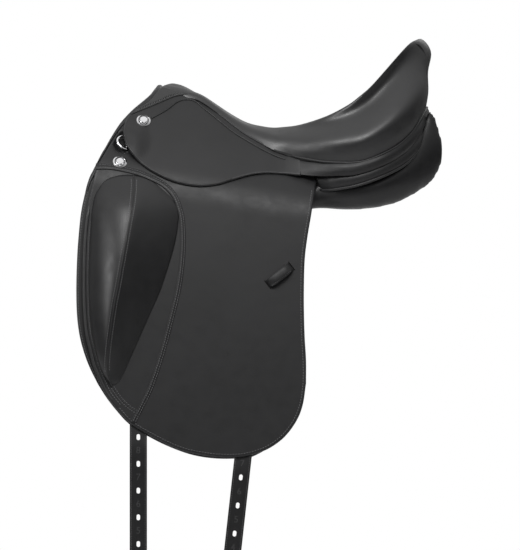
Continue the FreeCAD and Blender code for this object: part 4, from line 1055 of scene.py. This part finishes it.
def punched_strap(name, where, pitch, length):
    """Points, as (across, along, up), and faces of a strap with oval holes at the distances where."""
    half, begin = BILLET_HALF, where[0] - pitch / 2
    points, faces, count = [], [], 0
    loop = np.arange(24)
    for hole in where:
        lane = []
        for sign, edge in ((1, hole - pitch / 2), (-1, hole + pitch / 2)):
            lane += [(sign * half * a, edge) for a in (-1, -0.5, 0, 0.5, 1)]
            lane += [(sign * half, edge + sign * pitch * b / 8) for b in range(1, 8)]
        lane = np.array(lane)
        angle = np.arctan2(lane[:, 1] - hole, lane[:, 0] * 1.4)
        high = hole + 2.7 * np.sin(angle) + np.sign(np.sin(angle)) * 1.8
        slot = np.column_stack([2.7 * np.cos(angle), high])
        points += [slot, slot + (slot - (0, hole)) * 0.22, lane]
        faces += [band(count + start + loop, count + start + 24 + loop) for start in (0, 24)]
        count += 72
    end = begin + pitch * len(where)
    tail = ((0, 1), (0.3, 1), (0.55, 1), (0.75, 0.86), (0.9, 0.55), (1, 0.12))
    tail = [(end + (length - end) * f, half * width) for f, width in tail]
    for (a, wa), (b, wb) in [((0, half), (begin, half)), *zip(tail[:-1], tail[1:])]:
        steps = max(2, int((b - a) / 4))
        for q in np.linspace(0, 1, steps + 1):
            width = wa + (wb - wa) * q
            points.append(np.column_stack([width * np.linspace(-1, 1, 5), np.full(5, a + (b - a) * q)]))
        faces.append(quads(steps + 1, 5, first=count))
        count += (steps + 1) * 5
    bm = bmesh.new()
    verts = [bm.verts.new((*p, 0)) for p in np.vstack(points)]
    for f in np.vstack(faces):
        bm.faces.new([verts[i] for i in f])
    bmesh.ops.remove_doubles(bm, verts=bm.verts, dist=0.2)
    bmesh.ops.recalc_face_normals(bm, faces=bm.faces)
    for part in bmesh.ops.extrude_face_region(bm, geom=list(bm.faces))["geom"]:
        if isinstance(part, bmesh.types.BMVert):
            part.co.z += 2.9
    bm.normal_update()
    sharp = [e for e in bm.edges if len(e.link_faces) == 2 and e.calc_face_angle(0) > 1.2]
    bmesh.ops.bevel(bm, geom=sharp, offset=0.55, segments=2, profile=0.6, affect="EDGES")
    bmesh.ops.recalc_face_normals(bm, faces=bm.faces)
    strap = bpy.data.meshes.new(name)
    bm.to_mesh(strap)
    bm.free()
    return coords(strap), [list(p.vertices) for p in strap.polygons]


def make_billet(s, side, kind):
    """A girth billet with its holes, their numbers and its two rows of stitches."""
    front = kind == "front"
    body = f"{kind}_billet_body_{side}"
    knee, first_hole, pitch = (-358, -337, 40) if front else (-386, -355.3, 42)
    foot = np.array([-182, -358.0]) if front else np.array([-25, -364.0])
    slant = 0 if front else math.radians(6.35)
    down = np.array([-math.sin(slant), -math.cos(slant)])
    over = np.array([math.cos(slant), -math.sin(slant)])
    start = foot - down * BILLET_HEAD
    holes = [foot + down * ((foot[1] - (first_hole - pitch * k)) / math.cos(slant)) for k in range(8)]
    where = [float(np.dot(hole - start, down)) for hole in holes]
    pitch = where[1] - where[0]
    length = (start[1] - BILLET_END_Z) / math.cos(slant)
    # The off side is drawn larger about the camera's axis, so that it stays hidden behind the near side
    grow = 1.0 if s < 0 else (CAMERA_AWAY + BILLET_OUT) / (CAMERA_AWAY - BILLET_OUT)

    def hang(plane, height):
        y = strap_y(plane[:, 1], knee, foot[0], height)
        return np.column_stack([plane[:, 0] * grow, s * y, EYE_Z + (plane[:, 1] - EYE_Z) * grow])

    co, faces = punched_strap(f"strap_{kind}_{side}", where, pitch, length)
    placed = hang(start + co[:, 1:2] * down + co[:, 0:1] * over, BILLET_BACK + co[:, 2])
    mesh_piece(f"billet_{kind}_strap_{side}", placed, faces, STRAP_LEATHER, body, "leather_strap",
               f"billet_{kind}_{side}", angle=45)
    for digit, hole in zip("8765432" if front else "7654321", where):
        at = start + down * (hole + pitch / 2)
        name = f"digit_{digit}_{kind}_{side}"
        co, faces = digit_shape(name, digit)
        placed = hang(at + co[:, :2] * (-s * math.cos(slant), 1), BILLET_FACE)
        placed[:, 1] += s * co[:, 2]
        mesh_piece(name, placed, faces, PAINT, body, "leather_strap", angle=30)
    run = np.linspace(4, length - 30, 400)[:, None]
    for across, name in ((-10.4, "front"), (10.4, "rear")):
        path = hang(start + run * down + across * over, BILLET_FACE)
        normal = np.broadcast_to(np.array([0, s, 0.0]), path.shape)
        name = f"billet_{kind}_{name}_stitch_{side}"
        stitches(name, path, normal, body, pitch=3.4, length=2.4, radius=0.32)


def digit_shape(name, digit):
    """Points and faces of a plain painted digit."""
    text = bpy.data.curves.new(name + "_text", "FONT")
    text.body = digit
    text.size = 14
    text.align_x = "CENTER"
    text.align_y = "CENTER"
    text.extrude = 0.12
    holder = bpy.data.objects.new(name + "_text", text)
    bpy.context.scene.collection.objects.link(holder)
    outline = evaluated(holder)
    shape = coords(outline), [list(p.vertices) for p in outline.polygons]
    bpy.data.objects.remove(holder)
    bpy.data.meshes.remove(outline)
    return shape


# ---------------------------------------------------------------- panels


# Sections of a panel: x, then the corners as (y, z): channel low and high, outer high, middle and low, and
# inner low and middle
PANEL = [
    (-235, (99, 46), (95, 58), (99, 61), (115, 42), (134, -20), (124, -24), (110, 18)),
    (-218, (78, 70), (72, 83), (78, 88), (120, 28), (145, -62), (131, -68), (108, 8)),
    (-200, (58, 86), (49, 102), (56, 107), (122, 20), (152, -92), (138, -98), (106, 0)),
    (-160, (38, 86), (35, 105), (46, 110), (119, 20), (153, -106), (138, -114), (102, 0)),
    (-100, (36, 73), (35, 95), (46, 100), (115, 20), (149, -106), (134, -114), (100, 0)),
    (-40, (35, 58), (35, 84), (46, 92), (113, 20), (138, -72), (126, -80), (96, 2)),
    (20, (35, 44), (35, 66), (62, 66), (108, 26), (122, -24), (110, -32), (88, 4)),
    (84, (35, 34), (35, 58), (82, 53), (107, 28), (108, 6), (88, 3), (60, 18)),
    (130, (35, 35), (35, 57), (106, 44), (121, 26), (111, 6), (88, 3), (60, 20)),
    (180, (35, 43), (35, 62), (104, 58), (118, 38), (108, 13), (86, 8), (60, 28)),
    (220, (35, 58), (36, 92), (82, 84), (98, 60), (91, 28), (74, 20), (52, 40)),
    (238, (35.5, 64), (36.5, 132), (66, 108), (83, 76), (79, 37), (64, 30), (47, 48)),
    (254, (36, 72), (37, 158), (50, 134), (66, 94), (64, 48), (53, 40), (43, 58)),
    (265, (36.5, 80), (37.5, 146), (47, 132), (58, 98), (56, 59), (49, 50), (41, 68)),
    (273, (37, 86), (37.5, 126), (43, 119), (53, 98), (51, 73), (46, 63), (40, 76)),
    (277, (38, 92), (39, 112), (42, 109), (48, 98), (47, 84), (44, 80), (41, 87)),
]


def panel_shell(s):
    """Rounded skin through the panel's sections, as a mesh in metres."""
    rings = []
    for x, *corners in PANEL:
        ring = smooth([(s * y, z) for y, z in corners], 56, closed=True, ease=0)
        centre = ring.mean(0)
        reach = np.linalg.norm(ring - centre, axis=1, keepdims=True)
        ring = centre + (ring - centre) * (1 - 1.5 / np.maximum(reach, 6))
        rings.append(np.column_stack([np.full(len(ring), x), ring]))
    rows = spline_rows(np.array([2 * rings[0] - rings[1], *rings, 2 * rings[-1] - rings[-2]]), 7)
    rows = np.concatenate([rows, rows[:, :1]], axis=1)
    mesh = bpy.data.meshes.new("panel_shell")
    bm = bmesh.new()
    verts = [bm.verts.new(p / 1000) for p in rows.reshape(-1, 3)]
    for f in sleeve(*rows.shape[:2]):
        bm.faces.new([verts[i] for i in f])
    bmesh.ops.remove_doubles(bm, verts=bm.verts, dist=1e-6)
    bmesh.ops.recalc_face_normals(bm, faces=bm.faces)
    bm.to_mesh(mesh)
    bm.free()
    return mesh


def evaluated(piece):
    """The mesh of a piece with its modifiers or its text worked out."""
    bpy.context.view_layer.update()
    return bpy.data.meshes.new_from_object(piece.evaluated_get(bpy.context.evaluated_depsgraph_get()))


def remeshed(name, mesh, voxel):
    """A piece with an even mesh of voxel metres over the given one."""
    piece = bpy.data.objects.new(name, mesh)
    bpy.context.scene.collection.objects.link(piece)
    modifier = piece.modifiers.new("even", "REMESH")
    modifier.mode = "VOXEL"
    modifier.voxel_size = voxel
    even = evaluated(piece)
    piece.modifiers.clear()
    piece.data = even
    return piece


def coords(mesh):
    """Places of a mesh's points, as an array."""
    co = np.zeros(len(mesh.vertices) * 3)
    mesh.vertices.foreach_get("co", co)
    return co.reshape(-1, 3)


def iron(piece, times):
    """Evens out the bumps of a piece."""
    modifier = piece.modifiers.new("iron", "SMOOTH")
    modifier.factor = 0.5
    modifier.iterations = times
    flat = evaluated(piece)
    piece.modifiers.clear()
    piece.data = flat


def inflate(piece, cap):
    """Blows the piece up like a stuffed cover, with no point moving further than cap metres."""
    rest = coords(piece.data)
    modifier = piece.modifiers.new("stuffing", "CLOTH")
    cloth = modifier.settings
    cloth.use_pressure = True
    cloth.uniform_pressure_force = 4
    cloth.effector_weights.gravity = 0
    for frame_number in range(1, 21):
        bpy.context.scene.frame_set(frame_number)
    blown = piece.evaluated_get(bpy.context.evaluated_depsgraph_get())
    moved = coords(blown.data) - rest
    piece.modifiers.clear()
    far = np.linalg.norm(moved, axis=1, keepdims=True)
    piece.data.vertices.foreach_set("co", (rest + moved * np.minimum(1, cap / np.maximum(far, 1e-9))).ravel())
    bpy.context.scene.frame_set(1)


def make_panel(s, side):
    """A flocked panel, blown up by the cloth simulation so that its leather is crowned."""
    piece = remeshed(f"panel_leather_{side}", panel_shell(s), 0.005)
    iron(piece, 12)
    inflate(piece, 0.004)
    iron(piece, 2)
    piece.data.shade_smooth()
    piece.data.materials.clear()
    piece.data.materials.append(PANEL_LEATHER)
    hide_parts(f"panel_cover_{side}", f"panel_flock_{side}")
    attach(piece, "saddle")


camera()
studio()
repaint_nodes()
for s, side in SIDES:
    make_sweat_flap(s, side)
    make_flap(s, side)
    make_skirt(s, side)
    make_stud_reflection_rings(s, side)
    make_seat_points(s, side)
    make_cover(s, side)
    make_block(s, side)
    make_keeper(s, side)
    make_billet(s, side, "front")
    make_billet(s, side, "rear")
    make_panel(s, side)
make_strips()
make_seat()
make_welt()
make_roll()
make_lining()

bpy.context.view_layer.update()
